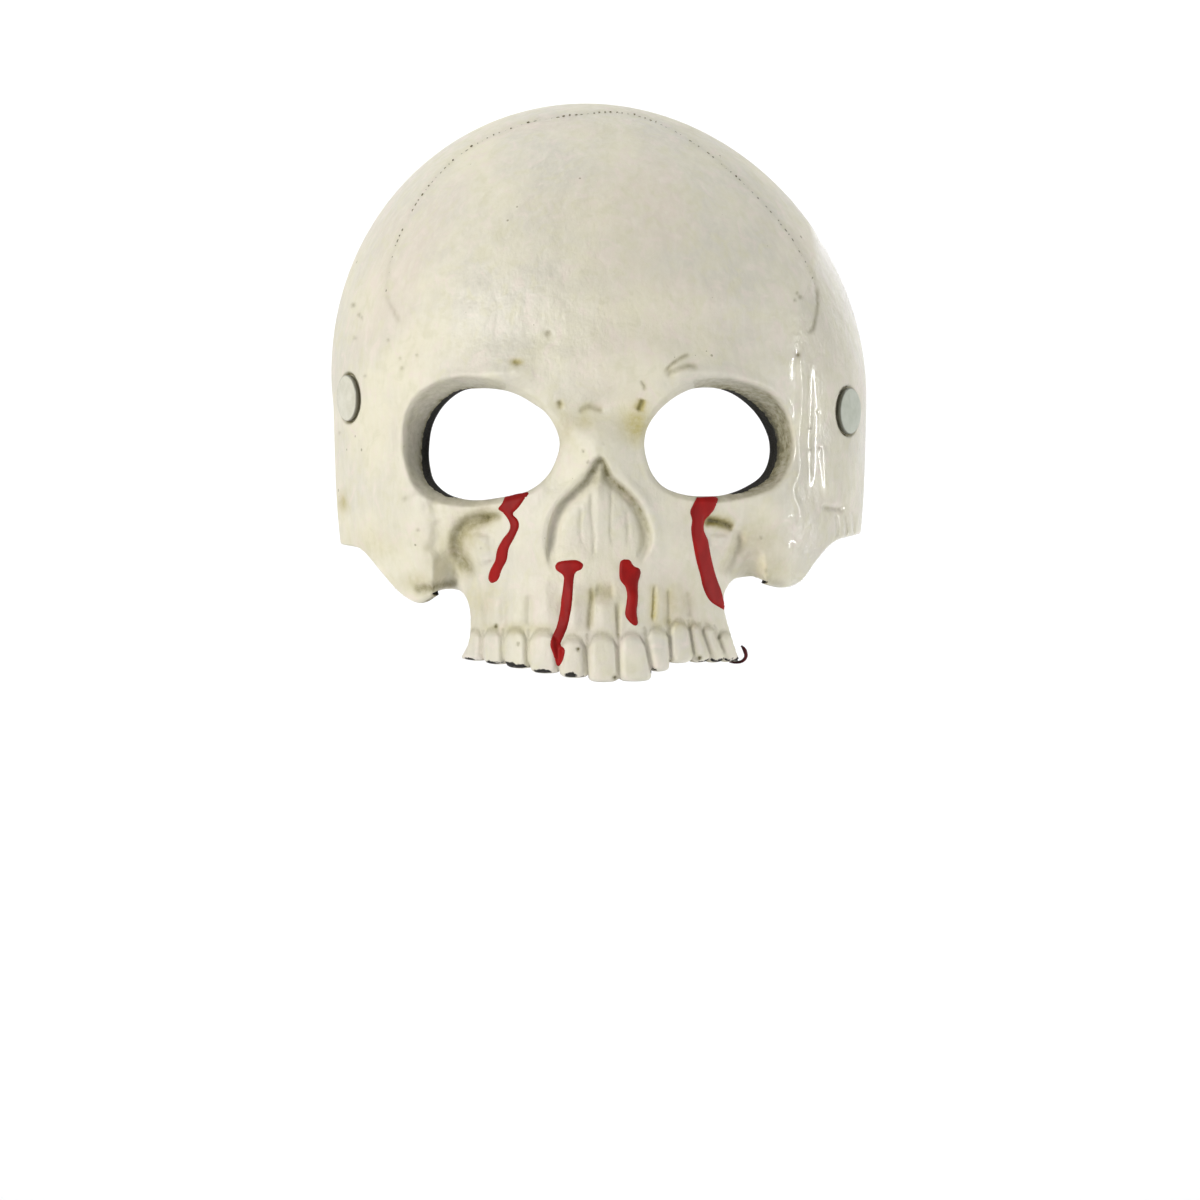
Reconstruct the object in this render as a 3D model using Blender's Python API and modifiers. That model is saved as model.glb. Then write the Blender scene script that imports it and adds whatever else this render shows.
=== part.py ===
"""Half-face skull mask of moulded foam, held on by an elastic strap riveted at the temples.

Metres, +Z up. The face looks along -Y, and the origin is the middle of the wearer's head, level with the rivets.
"""

import math

import bmesh
import bpy
import numpy as np
from mathutils import Matrix, Vector
from mathutils.geometry import delaunay_2d_cdt

# The dome that the whole shell is drawn on: a half ellipsoid in front of the head's middle.
DOME_HALF_WIDTH = 0.092
DOME_REACH = 0.088
DOME_HEIGHT = 0.1017
FACE_DROP = 0.200
DOME_SETBACK = 0.015
DOME_LEAN = 0.0048

# The shell is cut off behind along this line, given by how far it stands in front of the head's middle.
EDGE_AT_TEMPLE = 0.040
EDGE_AT_CROWN = 0.017

WALL = 0.0045

# The front drawing, which places every feature, is in perspective, from a point straight ahead.
DRAWING_DISTANCE = 1.42
DRAWING_DEPTH = 0.080
DRAWING_HEIGHT = -0.064

# Eyes
EYE_ACROSS = 0.0339
EYE_UP = -0.0138
EYE_RADIUS = 0.0195
SOCKET_DEPTH = 0.020
SOCKET_SLOPE = 0.0095

# Nose
NOSE_HEIGHT = 0.0360
NOSE_TOP = -0.0189
NOSE_WIDTH = 0.0320
NOSE_GROOVE = 0.0028
NOSE_GROOVE_WIDTH = 0.0016
NOSE_SINK = 0.0020

# Upper jaw
JAW_HALF_WIDTH = 0.054
JAW_REACH = 0.062
JAW_SETBACK = 0.038
JAW_TOP = -0.044
JAW_BLEND = 0.018
GUM_LINE = -0.0745
GUM_BAND = 0.008
TOOTH_RAISE = 0.0016
TOOTH_SHOULDER = 0.0016
TOOTH_GROOVE = 0.0006
TOOTH_GROOVE_WIDTH = 0.0008
# How much of a tooth's height its gum arches down at the sides, and how much its face rounds back there.
GUM_ARCH = 0.30
TOOTH_ROUND = 0.30
# Where the jaw's own curve starts to give way to the cheek, and how much of the soft forms it keeps.
JAW_SIDE = 0.86
JAW_SOFT = 0.40

# Rivets and strap
RIVET_HEAD = 0.0150
RIVET_HEAD_THICK = 0.0014
RIVET_CROWN = 0.0004
RIVET_SHANK = 0.0040
RIVET_CAP = 0.0110
RIVET_CAP_THICK = 0.0015
RIVET_SEAT = 0.0009
SEAT_MARGIN = 0.0006
STRAP_WIDTH = 0.0160
STRAP_THICK = 0.0014
STRAP_RISE = 0.0300
STRAP_END = 0.0090
STRAP_ON_WALL = 0.0135
HEAD_HALF_WIDTH = 0.0800
HEAD_REAR = 0.0980
GAP = 0.0003
WALL_CURVE_GAP = 0.0004
# How far the cutters of seats and bores pass the shell outside and the strap inside.
CUT_OUTSIDE = 0.0100
CUT_INSIDE = 0.0030

# How far the flat pattern lies from its centre for each radian that the dome turns.
PATTERN_RADIUS = 0.095

# Steps along drawn lines and along the strap, and the step over which the surface's slope is taken.
LINE_STEP = 0.0010
STRAP_STEP = 0.0060
SLOPE_STEP = 0.0008

# Triangle sides, finest where the relief is.
TEETH_MESH = 0.0023
NOSE_MESH = 0.0029
SOCKET_MESH = 0.0031
FACE_MESH = 0.0050
FLANK_MESH = 0.0072
DOME_MESH = 0.0092
INNER_MESH = 0.0068
MESH_GROWTH = 1.25

# Twice the area below which a triangle of the pattern is only a straight run of its edge.
LEAST_AREA = 4e-8

LEFT = -1
RIGHT = 1

# Soft mounds and hollows of the face, drawn from the front. Places and reaches are shares of the dome's half width
# (across) and height (up), turn is in degrees, and lift is a share of the dome's reach.
SOFT_FORMS = (
    # across, up, reach_across, reach_up, turn, lift
    (-0.400, 0.095, 0.300, 0.085, 6.0, 0.036),
    (0.400, 0.100, 0.290, 0.085, -8.0, 0.034),
    (0.000, 0.100, 0.160, 0.100, 0.0, 0.012),
    (-0.230, 0.200, 0.200, 0.085, 8.0, -0.022),
    (0.380, 0.215, 0.200, 0.080, -6.0, -0.020),
    (0.000, -0.030, 0.120, 0.060, 0.0, -0.050),
    (0.000, -0.150, 0.090, 0.100, 0.0, 0.048),
    (-0.390, -0.150, 0.330, 0.240, 0.0, -0.080),
    (0.390, -0.150, 0.330, 0.240, 0.0, -0.080),
    (-0.440, -0.460, 0.150, 0.120, 20.0, -0.050),
    (0.450, -0.460, 0.150, 0.120, -20.0, -0.050),
    (-0.640, -0.330, 0.170, 0.150, 0.0, 0.034),
    (0.680, -0.330, 0.160, 0.150, 0.0, 0.030),
    (-0.620, -0.620, 0.160, 0.140, 0.0, -0.050),
    (0.640, -0.600, 0.160, 0.140, 0.0, -0.050),
    (0.020, -0.610, 0.170, 0.060, 0.0, -0.020),
)

# Hole edge and socket, every 30 degrees from the temple side over the brow: shares of EYE_RADIUS, SOCKET_SLOPE and
# SOCKET_DEPTH.
EYE_ROWS = (
    # left_radius, right_radius, slope, depth
    (1.02, 0.96, 1.00, 1.00),
    (0.985, 0.85, 1.12, 0.90),
    (0.94, 0.82, 0.70, 0.60),
    (0.89, 0.85, 0.42, 0.34),
    (0.89, 0.88, 0.32, 0.15),
    (0.985, 0.93, 0.24, 0.06),
    (1.06, 1.00, 0.22, 0.05),
    (1.01, 1.02, 0.22, 0.05),
    (0.93, 0.97, 0.22, 0.08),
    (0.90, 0.89, 0.28, 0.13),
    (1.045, 0.90, 0.40, 0.25),
    (1.11, 0.97, 0.80, 0.60),
)

# The pear-shaped opening of the nose, from its lower left over the apex to its lower right: shares of NOSE_WIDTH to
# each side and of NOSE_HEIGHT below its top.
NOSE_ROWS = (
    # across, down
    (-0.46, 0.92),
    (-0.51, 0.80),
    (-0.50, 0.66),
    (-0.47, 0.54),
    (-0.40, 0.41),
    (-0.30, 0.32),
    (-0.15, 0.18),
    (0.00, 0.00),
    (0.12, 0.17),
    (0.25, 0.28),
    (0.38, 0.41),
    (0.45, 0.54),
    (0.49, 0.68),
    (0.48, 0.79),
    (0.43, 0.88),
)

# The shell's lower edge from the wearer's right flank, along the cheekbone, round the notch and to the jaw: shares of
# the dome's half width and height. The second table is the other side.
LEFT_EDGE = (
    # across, up
    (-0.835, -0.475),
    (-0.765, -0.547),
    (-0.703, -0.610),
    (-0.643, -0.639),
    (-0.591, -0.617),
    (-0.529, -0.598),
    (-0.490, -0.607),
    (-0.466, -0.642),
    (-0.459, -0.699),
    (-0.466, -0.761),
    (-0.494, -0.812),
)
RIGHT_EDGE = (
    # across, up
    (0.494, -0.821),
    (0.470, -0.755),
    (0.449, -0.692),
    (0.438, -0.642),
    (0.445, -0.601),
    (0.473, -0.570),
    (0.522, -0.563),
    (0.577, -0.576),
    (0.650, -0.592),
    (0.706, -0.573),
    (0.758, -0.510),
    (0.821, -0.450),
)

# Where each rivet sits in the front drawing: shares of the dome's half width and height.
RIVET_PLACES = {
    # across, up
    LEFT: (-0.876, 0.006),
    RIGHT: (0.866, -0.035),
}

# The strap's free stations from the shell's back edge to the back of the head: how far back as a share of the way to
# HEAD_REAR, how far out as a share of HEAD_HALF_WIDTH, and how much of STRAP_RISE it has risen.
STRAP_ROWS = (
    # back, out, rise
    (0.10, 1.04, 0.10),
    (0.34, 1.02, 0.38),
    (0.62, 0.95, 0.76),
    (0.84, 0.76, 0.96),
    (0.96, 0.42, 1.00),
)

# Where the flank's lower corners lie, as shares of the dome's height.
LEFT_CORNER_UP = -0.452
RIGHT_CORNER_UP = -0.418

# Teeth from the wearer's right to left: where each ends across, how far its foot lies below, and how much it leans,
# as shares of the dome's half width and height. The first row is only the outer side of the first tooth.
TEETH = (
    # side, foot, lean
    (-0.494, -0.815, 0.00),
    (-0.410, -0.832, -0.02),
    (-0.340, -0.842, -0.02),
    (-0.250, -0.856, 0.00),
    (-0.146, -0.866, 0.00),
    (-0.042, -0.880, 0.00),
    (0.066, -0.886, 0.00),
    (0.181, -0.882, 0.02),
    (0.247, -0.852, 0.04),
    (0.323, -0.823, 0.06),
    (0.390, -0.823, 0.08),
    (0.442, -0.823, 0.08),
    (0.494, -0.821, 0.08),
)


def smooth_step(low, high, value):
    """0 below low, 1 above high, and a smooth rise between."""
    share = np.clip((value - low) / (high - low), 0.0, 1.0)
    return share * share * (3.0 - 2.0 * share)


def turning_table(rows, column):
    """A smooth function of an angle through the rows of a table whose rows go once round."""
    values = np.array([row[column] for row in rows])
    count = len(values)

    def at(angle):
        place = np.mod(angle, 2 * math.pi) / (2 * math.pi) * count
        first = np.floor(place).astype(int)
        part = place - first
        before, here, after, last = (values[(first + step) % count] for step in (-1, 0, 1, 2))
        bend = 2 * before - 5 * here + 4 * after - last
        twist = 3 * (here - after) + last - before
        return here + 0.5 * part * (after - before + part * (bend + part * twist))

    return at


def smooth_line(points, step):
    """Points about one step apart on a smooth curve through the given ones."""
    points = np.array(points)
    ends = [2 * points[0] - points[1], *points, 2 * points[-1] - points[-2]]
    line = []
    for before, here, after, last in zip(ends, ends[1:], ends[2:], ends[3:]):
        count = max(1, round(float(np.linalg.norm(after - here)) / step))
        for part in np.arange(count) / count:
            bend = 2 * before - 5 * here + 4 * after - last
            twist = 3 * (here - after) + last - before
            line.append(here + 0.5 * part * (after - before + part * (bend + part * twist)))
    return np.array([*line, points[-1]])


def distance_to_line(points, line):
    """Each point's distance to a polyline, and how far along it the nearest place is, from 0 to 1."""
    nearest = np.full(len(points), np.inf)
    along = np.zeros(len(points))
    for index, (start, end) in enumerate(zip(line, line[1:])):
        run = end - start
        share = np.clip((points - start) @ run / max(run @ run, 1e-12), 0.0, 1.0)
        away = np.linalg.norm(points - start - share[:, None] * run, axis=1)
        closer = away < nearest
        nearest[closer] = away[closer]
        along[closer] = (index + share[closer]) / (len(line) - 1)
    return nearest, along


def inside(points, ring):
    """Which points lie inside a closed ring."""
    found = np.zeros(len(points), bool)
    for start, end in zip(ring, np.roll(ring, -1, axis=0)):
        crosses = (start[1] > points[:, 1]) != (end[1] > points[:, 1])
        rise = end[1] - start[1]
        slope = (end[0] - start[0]) / (rise if rise else 1e-12)
        found ^= crosses & (points[:, 0] < start[0] + (points[:, 1] - start[1]) * slope)
    return found


def dome_point(pattern):
    """The dome's surface at points of the flat pattern."""
    radius = np.maximum(np.linalg.norm(pattern, axis=1), 1e-9)
    turn = radius / PATTERN_RADIUS
    across = np.sin(turn) * pattern[:, 0] / radius
    up = np.sin(turn) * pattern[:, 1] / radius
    ahead = np.cos(turn)
    height = np.where(up > 0, DOME_HEIGHT, FACE_DROP)
    size = 1 / np.sqrt((across / DOME_HALF_WIDTH) ** 2 + (ahead / DOME_REACH) ** 2 + (up / height) ** 2)
    lean = DOME_LEAN * np.maximum(size * up, 0.0) / DOME_HEIGHT
    return np.stack([size * across - lean, -DOME_SETBACK - size * ahead, size * up], axis=1)


def front_view(points):
    """Where points show in the front drawing, across and up."""
    scale = DRAWING_DISTANCE / (points[:, 1] + DRAWING_DEPTH + DRAWING_DISTANCE)
    return np.stack([points[:, 0] * scale, DRAWING_HEIGHT + (points[:, 2] - DRAWING_HEIGHT) * scale], axis=1)


def pattern_of(front):
    """The flat pattern's points for points of the front drawing: the inverse of front_view on the dome."""
    front = np.atleast_2d(front)
    eye = np.array([0.0, -DRAWING_DEPTH - DRAWING_DISTANCE, DRAWING_HEIGHT])
    sight = np.stack([front[:, 0], np.full(len(front), DRAWING_DISTANCE), front[:, 1] - DRAWING_HEIGHT], axis=1)
    found = np.zeros((len(front), 3))
    for height, lean in ((FACE_DROP, 0.0), (DOME_HEIGHT, DOME_LEAN / DOME_HEIGHT)):
        size = np.array([DOME_HALF_WIDTH, DOME_REACH, height])
        start = np.array([eye[0] + lean * eye[2], eye[1] + DOME_SETBACK, eye[2]]) / size
        way = np.stack([sight[:, 0] + lean * sight[:, 2], sight[:, 1], sight[:, 2]], axis=1) / size
        square = (way * way).sum(axis=1)
        half = way @ start
        reach = (-half - np.sqrt(np.maximum(half * half - square * (start @ start - 1), 0.0))) / square
        place = (start + reach[:, None] * way) * size
        fits = (place[:, 2] > 0) == (lean > 0)
        found[fits] = place[fits]
    side = np.maximum(np.hypot(found[:, 0], found[:, 2]), 1e-9)
    turn = np.arctan2(side, -found[:, 1])
    return np.stack([found[:, 0], found[:, 2]], axis=1) * (turn * PATTERN_RADIUS / side)[:, None]


def soft_forms(front):
    """How far the broad mounds and hollows lift the dome."""
    lift = np.zeros(len(front))
    for across, up, reach_across, reach_up, turn, share in SOFT_FORMS:
        away = front - np.array([across * DOME_HALF_WIDTH, up * DOME_HEIGHT])
        angle = math.radians(turn)
        along = away[:, 0] * math.cos(angle) + away[:, 1] * math.sin(angle)
        over = away[:, 1] * math.cos(angle) - away[:, 0] * math.sin(angle)
        spread = (along / (reach_across * DOME_HALF_WIDTH)) ** 2 + (over / (reach_up * DOME_HEIGHT)) ** 2
        lift += share * DOME_REACH * np.exp(-spread)
    return lift


def eye_polar(front, side):
    """Distance from an eye's centre, and the angle from its temple side over the brow."""
    away = front - np.array([side * EYE_ACROSS, EYE_UP])
    return np.linalg.norm(away, axis=1), np.arctan2(away[:, 1], side * away[:, 0])


def socket_sink(front, side):
    """How far the eye socket's funnel sinks, deepest at the temple side."""
    column = 0 if side == LEFT else 1
    radius, angle = eye_polar(front, side)
    edge = turning_table(EYE_ROWS, column)(angle) * EYE_RADIUS
    slope = turning_table(EYE_ROWS, 2)(angle) * SOCKET_SLOPE
    depth = turning_table(EYE_ROWS, 3)(angle) * SOCKET_DEPTH
    return depth * (1 - smooth_step(0.0, 1.0, np.maximum(radius - edge, 0.0) / slope))


def jaw_share(front):
    """How much of the surface is the upper jaw's own curve: 1 on the jaw, 0 on the cheeks and above."""
    below = 1 - smooth_step(JAW_TOP - JAW_BLEND, JAW_TOP, front[:, 1])
    return below * (1 - smooth_step(JAW_SIDE * JAW_HALF_WIDTH, JAW_HALF_WIDTH, np.abs(front[:, 0])))


def jaw_ahead(front):
    """How far in front of the head's middle the upper jaw's arch stands."""
    across = np.clip(np.abs(front[:, 0]) / JAW_HALF_WIDTH, 0.0, 0.97)
    return JAW_SETBACK + JAW_REACH * np.sqrt(1 - across * across)


def nose_line():
    """The edge of the nose's opening, in the front drawing."""
    rows = [(across * NOSE_WIDTH, NOSE_TOP - down * NOSE_HEIGHT) for across, down in NOSE_ROWS]
    return np.array(rows)


def nose_relief(front):
    """The groove round the nose's opening, and the sunk plug within it."""
    line = nose_line()
    away, along = distance_to_line(front, line)
    fade = smooth_step(0.0, 0.12, along) * smooth_step(0.0, 0.10, 1 - along)
    within = inside(front, line) * smooth_step(0.0, NOSE_GROOVE_WIDTH, away)
    open_below = smooth_step(NOSE_TOP - NOSE_HEIGHT, NOSE_TOP - 0.6 * NOSE_HEIGHT, front[:, 1])
    return -NOSE_GROOVE * fade * np.exp(-((away / NOSE_GROOVE_WIDTH) ** 2)) - NOSE_SINK * within * open_below


def tooth_relief(front):
    """The raised crowns of the teeth, with a groove between each two."""
    raised = np.zeros(len(front))
    for (left, left_foot, left_lean), (right, right_foot, right_lean) in zip(TEETH, TEETH[1:]):
        foot = 0.5 * (left_foot + right_foot) * DOME_HEIGHT
        height = GUM_LINE - foot
        up = np.clip((front[:, 1] - foot) / height, -0.2, 1.6)
        low = (left + 0.5 * left_lean * (1 - up)) * DOME_HALF_WIDTH
        high = (right + 0.5 * right_lean * (1 - up)) * DOME_HALF_WIDTH
        half = 0.5 * (high - low)
        share = (front[:, 0] - 0.5 * (low + high)) / half
        to_side = (1 - np.abs(share)) * half
        to_gum = (1 + 0.2 * GUM_ARCH - GUM_ARCH * share * share - up) * height
        edge = np.minimum(to_side, to_gum)
        crown = smooth_step(0.0, TOOTH_SHOULDER, edge) * (1 - TOOTH_ROUND * share * share)
        raised = np.maximum(raised, np.where(edge > 0, TOOTH_RAISE * crown, 0.0))
        groove = np.exp(-((to_side / TOOTH_GROOVE_WIDTH) ** 2)) * (up < 1.0) * (np.abs(share) < 1.3)
        raised -= TOOTH_GROOVE * groove * smooth_step(0.0, 0.2, 1 - up)
    return raised


def surface(pattern, fine):
    """The shell's outer surface at points of the flat pattern, with the fine relief or without it."""
    dome = dome_point(pattern)
    front = front_view(dome)
    soft = soft_forms(front)
    lift = soft - socket_sink(front, LEFT) - socket_sink(front, RIGHT)
    jaw = jaw_share(front)
    lift = lift * (1 - jaw) + (jaw_ahead(front) + dome[:, 1] + JAW_SOFT * soft) * jaw
    if fine:
        lift += nose_relief(front) + tooth_relief(front)
    eye = np.array([0.0, -DRAWING_DEPTH - DRAWING_DISTANCE, DRAWING_HEIGHT])
    sight = eye - dome
    sight /= np.linalg.norm(sight, axis=1)[:, None]
    height = np.where(dome[:, 2] > 0, DOME_HEIGHT, FACE_DROP)
    size = np.stack([np.full(len(dome), DOME_HALF_WIDTH), np.full(len(dome), DOME_REACH), height], axis=1)
    outward = (dome + np.array([0.0, DOME_SETBACK, 0.0])) / size**2
    outward /= np.linalg.norm(outward, axis=1)[:, None]
    facing = smooth_step(0.10, 0.45, (outward * sight).sum(axis=1))[:, None]
    way = sight * facing + outward * (1 - facing)
    way /= np.linalg.norm(way, axis=1)[:, None]
    return dome + way * lift[:, None]


def outward_normal(pattern):
    """The outward direction of the broad surface at points of the flat pattern."""
    east, north = np.array([SLOPE_STEP, 0.0]), np.array([0.0, SLOPE_STEP])
    across = surface(pattern + east, False) - surface(pattern - east, False)
    up = surface(pattern + north, False) - surface(pattern - north, False)
    normal = np.cross(across, up)
    return normal / np.linalg.norm(normal, axis=1)[:, None]


def inner_surface(pattern):
    """The shell's inner surface: the broad surface moved in by the wall."""
    return surface(pattern, False) - WALL * outward_normal(pattern)


def edge_ahead(up):
    """How far in front of the head's middle the shell's back edge lies at a height."""
    share = np.clip(up / DOME_HEIGHT, 0.0, 1.0)
    return EDGE_AT_TEMPLE + (EDGE_AT_CROWN - EDGE_AT_TEMPLE) * share


def back_edge(angle):
    """The pattern point of the back edge in one direction, found by halving."""
    way = np.array([math.cos(angle), math.sin(angle)])
    near, far = 0.3 * PATTERN_RADIUS, 0.5 * math.pi * PATTERN_RADIUS
    for _ in range(40):
        middle = 0.5 * (near + far)
        point = dome_point((middle * way)[None])[0]
        if -point[1] > edge_ahead(point[2]):
            near = middle
        else:
            far = middle
    return near * way


def corner_angle(side, up):
    """The pattern direction in which the back edge comes down to a height below the middle."""
    level, steep = 0.0, -0.45 * math.pi
    for _ in range(40):
        middle = 0.5 * (level + steep)
        point = dome_point(back_edge(middle)[None])[0]
        if point[2] > up * DOME_HEIGHT:
            level = middle
        else:
            steep = middle
    return level if side == RIGHT else math.pi - level


def mesh_size(pattern):
    """The triangle side wanted at points of the flat pattern."""
    front = front_view(dome_point(pattern))
    brow_to_crown = smooth_step(0.20, 0.50, front[:, 1] / DOME_HEIGHT)
    cheek_to_flank = smooth_step(0.70, 0.95, np.abs(front[:, 0]) / DOME_HALF_WIDTH)
    size = FACE_MESH + (DOME_MESH - FACE_MESH) * brow_to_crown
    size = np.maximum(size, FACE_MESH + (FLANK_MESH - FACE_MESH) * cheek_to_flank)
    from_nose = (front - np.array([0.0, NOSE_TOP - 0.5 * NOSE_HEIGHT])) / np.array([NOSE_WIDTH, NOSE_HEIGHT])
    near_nose = smooth_step(0.6, 0.9, np.linalg.norm(from_nose, axis=1))
    size = np.minimum(size, NOSE_MESH + (FACE_MESH - NOSE_MESH) * near_nose)
    for side in (LEFT, RIGHT):
        radius, angle = eye_polar(front, side)
        slope = turning_table(EYE_ROWS, 2)(angle) * SOCKET_SLOPE
        past_rim = smooth_step(0.0, 0.5, (radius - EYE_RADIUS - slope) / EYE_RADIUS)
        size = np.minimum(size, SOCKET_MESH + (DOME_MESH - SOCKET_MESH) * past_rim)
    above_gums = smooth_step(0.2, 1.2, (front[:, 1] - GUM_LINE) / GUM_BAND)
    return np.minimum(size, TEETH_MESH + (DOME_MESH - TEETH_MESH) * above_gums)


def spaced(line, size):
    """Points along a line of the pattern, each about the wanted triangle side from the last."""
    steps = np.linalg.norm(np.diff(line, axis=0), axis=1)
    travelled = np.concatenate([[0.0], np.cumsum(steps)])
    pace = np.concatenate([[0.0], np.cumsum(steps / size(0.5 * (line[1:] + line[:-1])))])
    count = max(2, round(pace[-1]))
    wanted = np.interp(np.linspace(0.0, pace[-1], count + 1), pace, travelled)
    return np.stack([np.interp(wanted, travelled, line[:, axis]) for axis in (0, 1)], axis=1)


def drawn(rows):
    """Rows of shares of the dome's half width and height, as points of the front drawing."""
    return [(across * DOME_HALF_WIDTH, up * DOME_HEIGHT) for across, up in rows]


def shell_rings():
    """The closed rings that bound the flat pattern: the shell's edge and the two eye holes."""
    right_angle = corner_angle(RIGHT, RIGHT_CORNER_UP)
    left_angle = corner_angle(LEFT, LEFT_CORNER_UP)
    top = np.array([back_edge(angle) for angle in np.linspace(right_angle, left_angle, 120)])
    corners = front_view(dome_point(top[[-1, 0]]))
    left = pattern_of(smooth_line([corners[0], *drawn(LEFT_EDGE)], LINE_STEP))
    teeth = pattern_of(np.array(drawn([(side, foot) for side, foot, _ in TEETH])))
    teeth = np.concatenate([np.linspace(start, end, 12)[:-1] for start, end in zip(teeth, teeth[1:])])
    right = pattern_of(smooth_line([*drawn(RIGHT_EDGE), corners[1]], LINE_STEP))
    runs = [spaced(np.asarray(run), mesh_size) for run in (top, left, teeth, right)]
    rings = [np.concatenate([run[:-1] for run in runs])]
    for side in (LEFT, RIGHT):
        angles = np.linspace(0.0, 2 * math.pi, 181)
        radius = turning_table(EYE_ROWS, 0 if side == LEFT else 1)(angles) * EYE_RADIUS
        hole = np.stack([side * (EYE_ACROSS + radius * np.cos(angles)), EYE_UP + radius * np.sin(angles)], axis=1)
        rings.append(spaced(pattern_of(hole), mesh_size)[:-1])
    return rings


def filling(rings, size, finest, coarsest):
    """Points inside the edge ring and outside the holes, on staggered grids as fine as each place wants."""
    levels = [finest]
    while levels[-1] * MESH_GROWTH < coarsest:
        levels.append(levels[-1] * MESH_GROWTH)
    low, high = rings[0].min(axis=0), rings[0].max(axis=0)
    kept = []
    for number, step in enumerate(levels):
        rows = np.arange(low[1], high[1], step * math.sqrt(0.75))
        columns = np.arange(low[0], high[0], step)
        grid = np.array([(x + 0.5 * step * (index % 2), y) for index, y in enumerate(rows) for x in columns])
        wanted = size(grid)
        below = wanted >= step if number else np.ones(len(grid), bool)
        above = wanted < step * MESH_GROWTH if number < len(levels) - 1 else np.ones(len(grid), bool)
        grid = grid[below & above & inside(grid, rings[0])]
        for ring in rings:
            closed_ring = np.concatenate([ring, ring[:1]])
            grid = grid[distance_to_line(grid, closed_ring)[0] > 0.55 * step]
        for ring in rings[1:]:
            grid = grid[~inside(grid, ring)]
        kept.append(grid)
    return np.concatenate(kept)


def triangles(rings, points):
    """Triangles over the rings and points. The rings' points come first in the numbering."""
    everything = np.concatenate([*rings, points])
    edges = []
    first = 0
    for ring in rings:
        edges += [(first + index, first + (index + 1) % len(ring)) for index in range(len(ring))]
        first += len(ring)
    scale = 1 / PATTERN_RADIUS
    verts, _, faces, origins, _, _ = delaunay_2d_cdt([Vector(point * scale) for point in everything], edges, [], 0, 1e-9)
    number = [origin[0] for origin in origins]
    assert len(verts) == len(everything)
    faces = np.array([[number[corner] for corner in face] for face in faces])
    middle = everything[faces].mean(axis=1)
    sides = everything[faces[:, 1:]] - everything[faces[:, :1]]
    area = np.abs(sides[:, 0, 0] * sides[:, 1, 1] - sides[:, 0, 1] * sides[:, 1, 0])
    kept = inside(middle, rings[0]) & (area > LEAST_AREA)
    for ring in rings[1:]:
        kept &= ~inside(middle, ring)
    return everything, faces[kept], edges


def new_object(name, verts, faces, collection, material):
    """A mesh object with outward faces."""
    mesh = bpy.data.meshes.new(name)
    mesh.from_pydata([tuple(map(float, vert)) for vert in verts], [], [tuple(map(int, face)) for face in faces])
    mesh.validate()
    bm = bmesh.new()
    bm.from_mesh(mesh)
    bmesh.ops.recalc_face_normals(bm, faces=bm.faces)
    bm.to_mesh(mesh)
    bm.free()
    obj = bpy.data.objects.new(name, mesh)
    collection.objects.link(obj)
    if material:
        mesh.materials.append(material)
    return obj


def make_material(name, colour, roughness):
    """A plain finish."""
    material = bpy.data.materials.new(name)
    material.use_nodes = True
    shader = material.node_tree.nodes["Principled BSDF"]
    shader.inputs["Base Color"].default_value = (*colour, 1.0)
    shader.inputs["Roughness"].default_value = roughness
    return material


def make_shell(collection, material):
    """The moulded shell: the outer surface, the inner one, and the cut edges between them."""
    rings = shell_rings()
    outer_points, outer_faces, edges = triangles(rings, filling(rings, mesh_size, TEETH_MESH, DOME_MESH))

    def inner_size(pattern):
        return np.maximum(mesh_size(pattern), INNER_MESH)

    inner_points, inner_faces, _ = triangles(rings, filling(rings, inner_size, INNER_MESH, DOME_MESH))
    outer = surface(outer_points, True)
    inner = inner_surface(inner_points)
    count = len(outer)
    faces = [tuple(face) for face in outer_faces]
    faces += [tuple(count + face[::-1]) for face in inner_faces]
    for start, end in edges:
        faces.append((end, start, count + start))
        faces.append((end, count + start, count + end))
    shell = new_object("mask_shell", np.concatenate([outer, inner]), faces, collection, material)
    shell.data.shade_smooth()
    shell.data.set_sharp_from_angle(angle=math.radians(50))
    return shell


def rivet_pattern(side):
    """The rivet's point on the flat pattern."""
    return pattern_of(np.array(drawn([RIVET_PLACES[side]])))


def rivet_place(side):
    """The rivet's frame on the shell: its Z axis points outwards and its Y axis up, at the outer surface."""
    pattern = rivet_pattern(side)
    here = surface(pattern, False)[0]
    normal = Vector(outward_normal(pattern)[0])
    up = Vector((0.0, 0.0, 1.0))
    up = (up - normal * up.dot(normal)).normalized()
    frame = Matrix((up.cross(normal), up, normal)).transposed().to_4x4()
    frame.translation = Vector(here)
    return frame


def make_cylinder(name, diameter, low, high, frame, collection, material, sides=24):
    """A round solid along the frame's Z axis."""
    mesh = bpy.data.meshes.new(name)
    bm = bmesh.new()
    bmesh.ops.create_cone(
        bm,
        cap_ends=True,
        segments=sides,
        radius1=0.5 * diameter,
        radius2=0.5 * diameter,
        depth=high - low,
        matrix=Matrix.Translation((0.0, 0.0, 0.5 * (low + high))),
    )
    bm.to_mesh(mesh)
    bm.free()
    obj = bpy.data.objects.new(name, mesh)
    obj.matrix_world = frame
    collection.objects.link(obj)
    if material:
        mesh.materials.append(material)
        mesh.shade_smooth()
        mesh.set_sharp_from_angle(angle=math.radians(40))
    return obj


def cut(obj, cutter):
    """Cuts one object with another, which stays hidden among the cutters."""
    cutter.hide_render = True
    cutter.display_type = "WIRE"
    modifier = obj.modifiers.new("cut_" + cutter.name, "BOOLEAN")
    modifier.operation = "DIFFERENCE"
    modifier.solver = "EXACT"
    modifier.object = cutter


def strap_depth():
    """How far below the outer surface the strap's middle lies at a rivet."""
    return WALL + GAP + WALL_CURVE_GAP + 0.5 * STRAP_THICK


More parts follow.
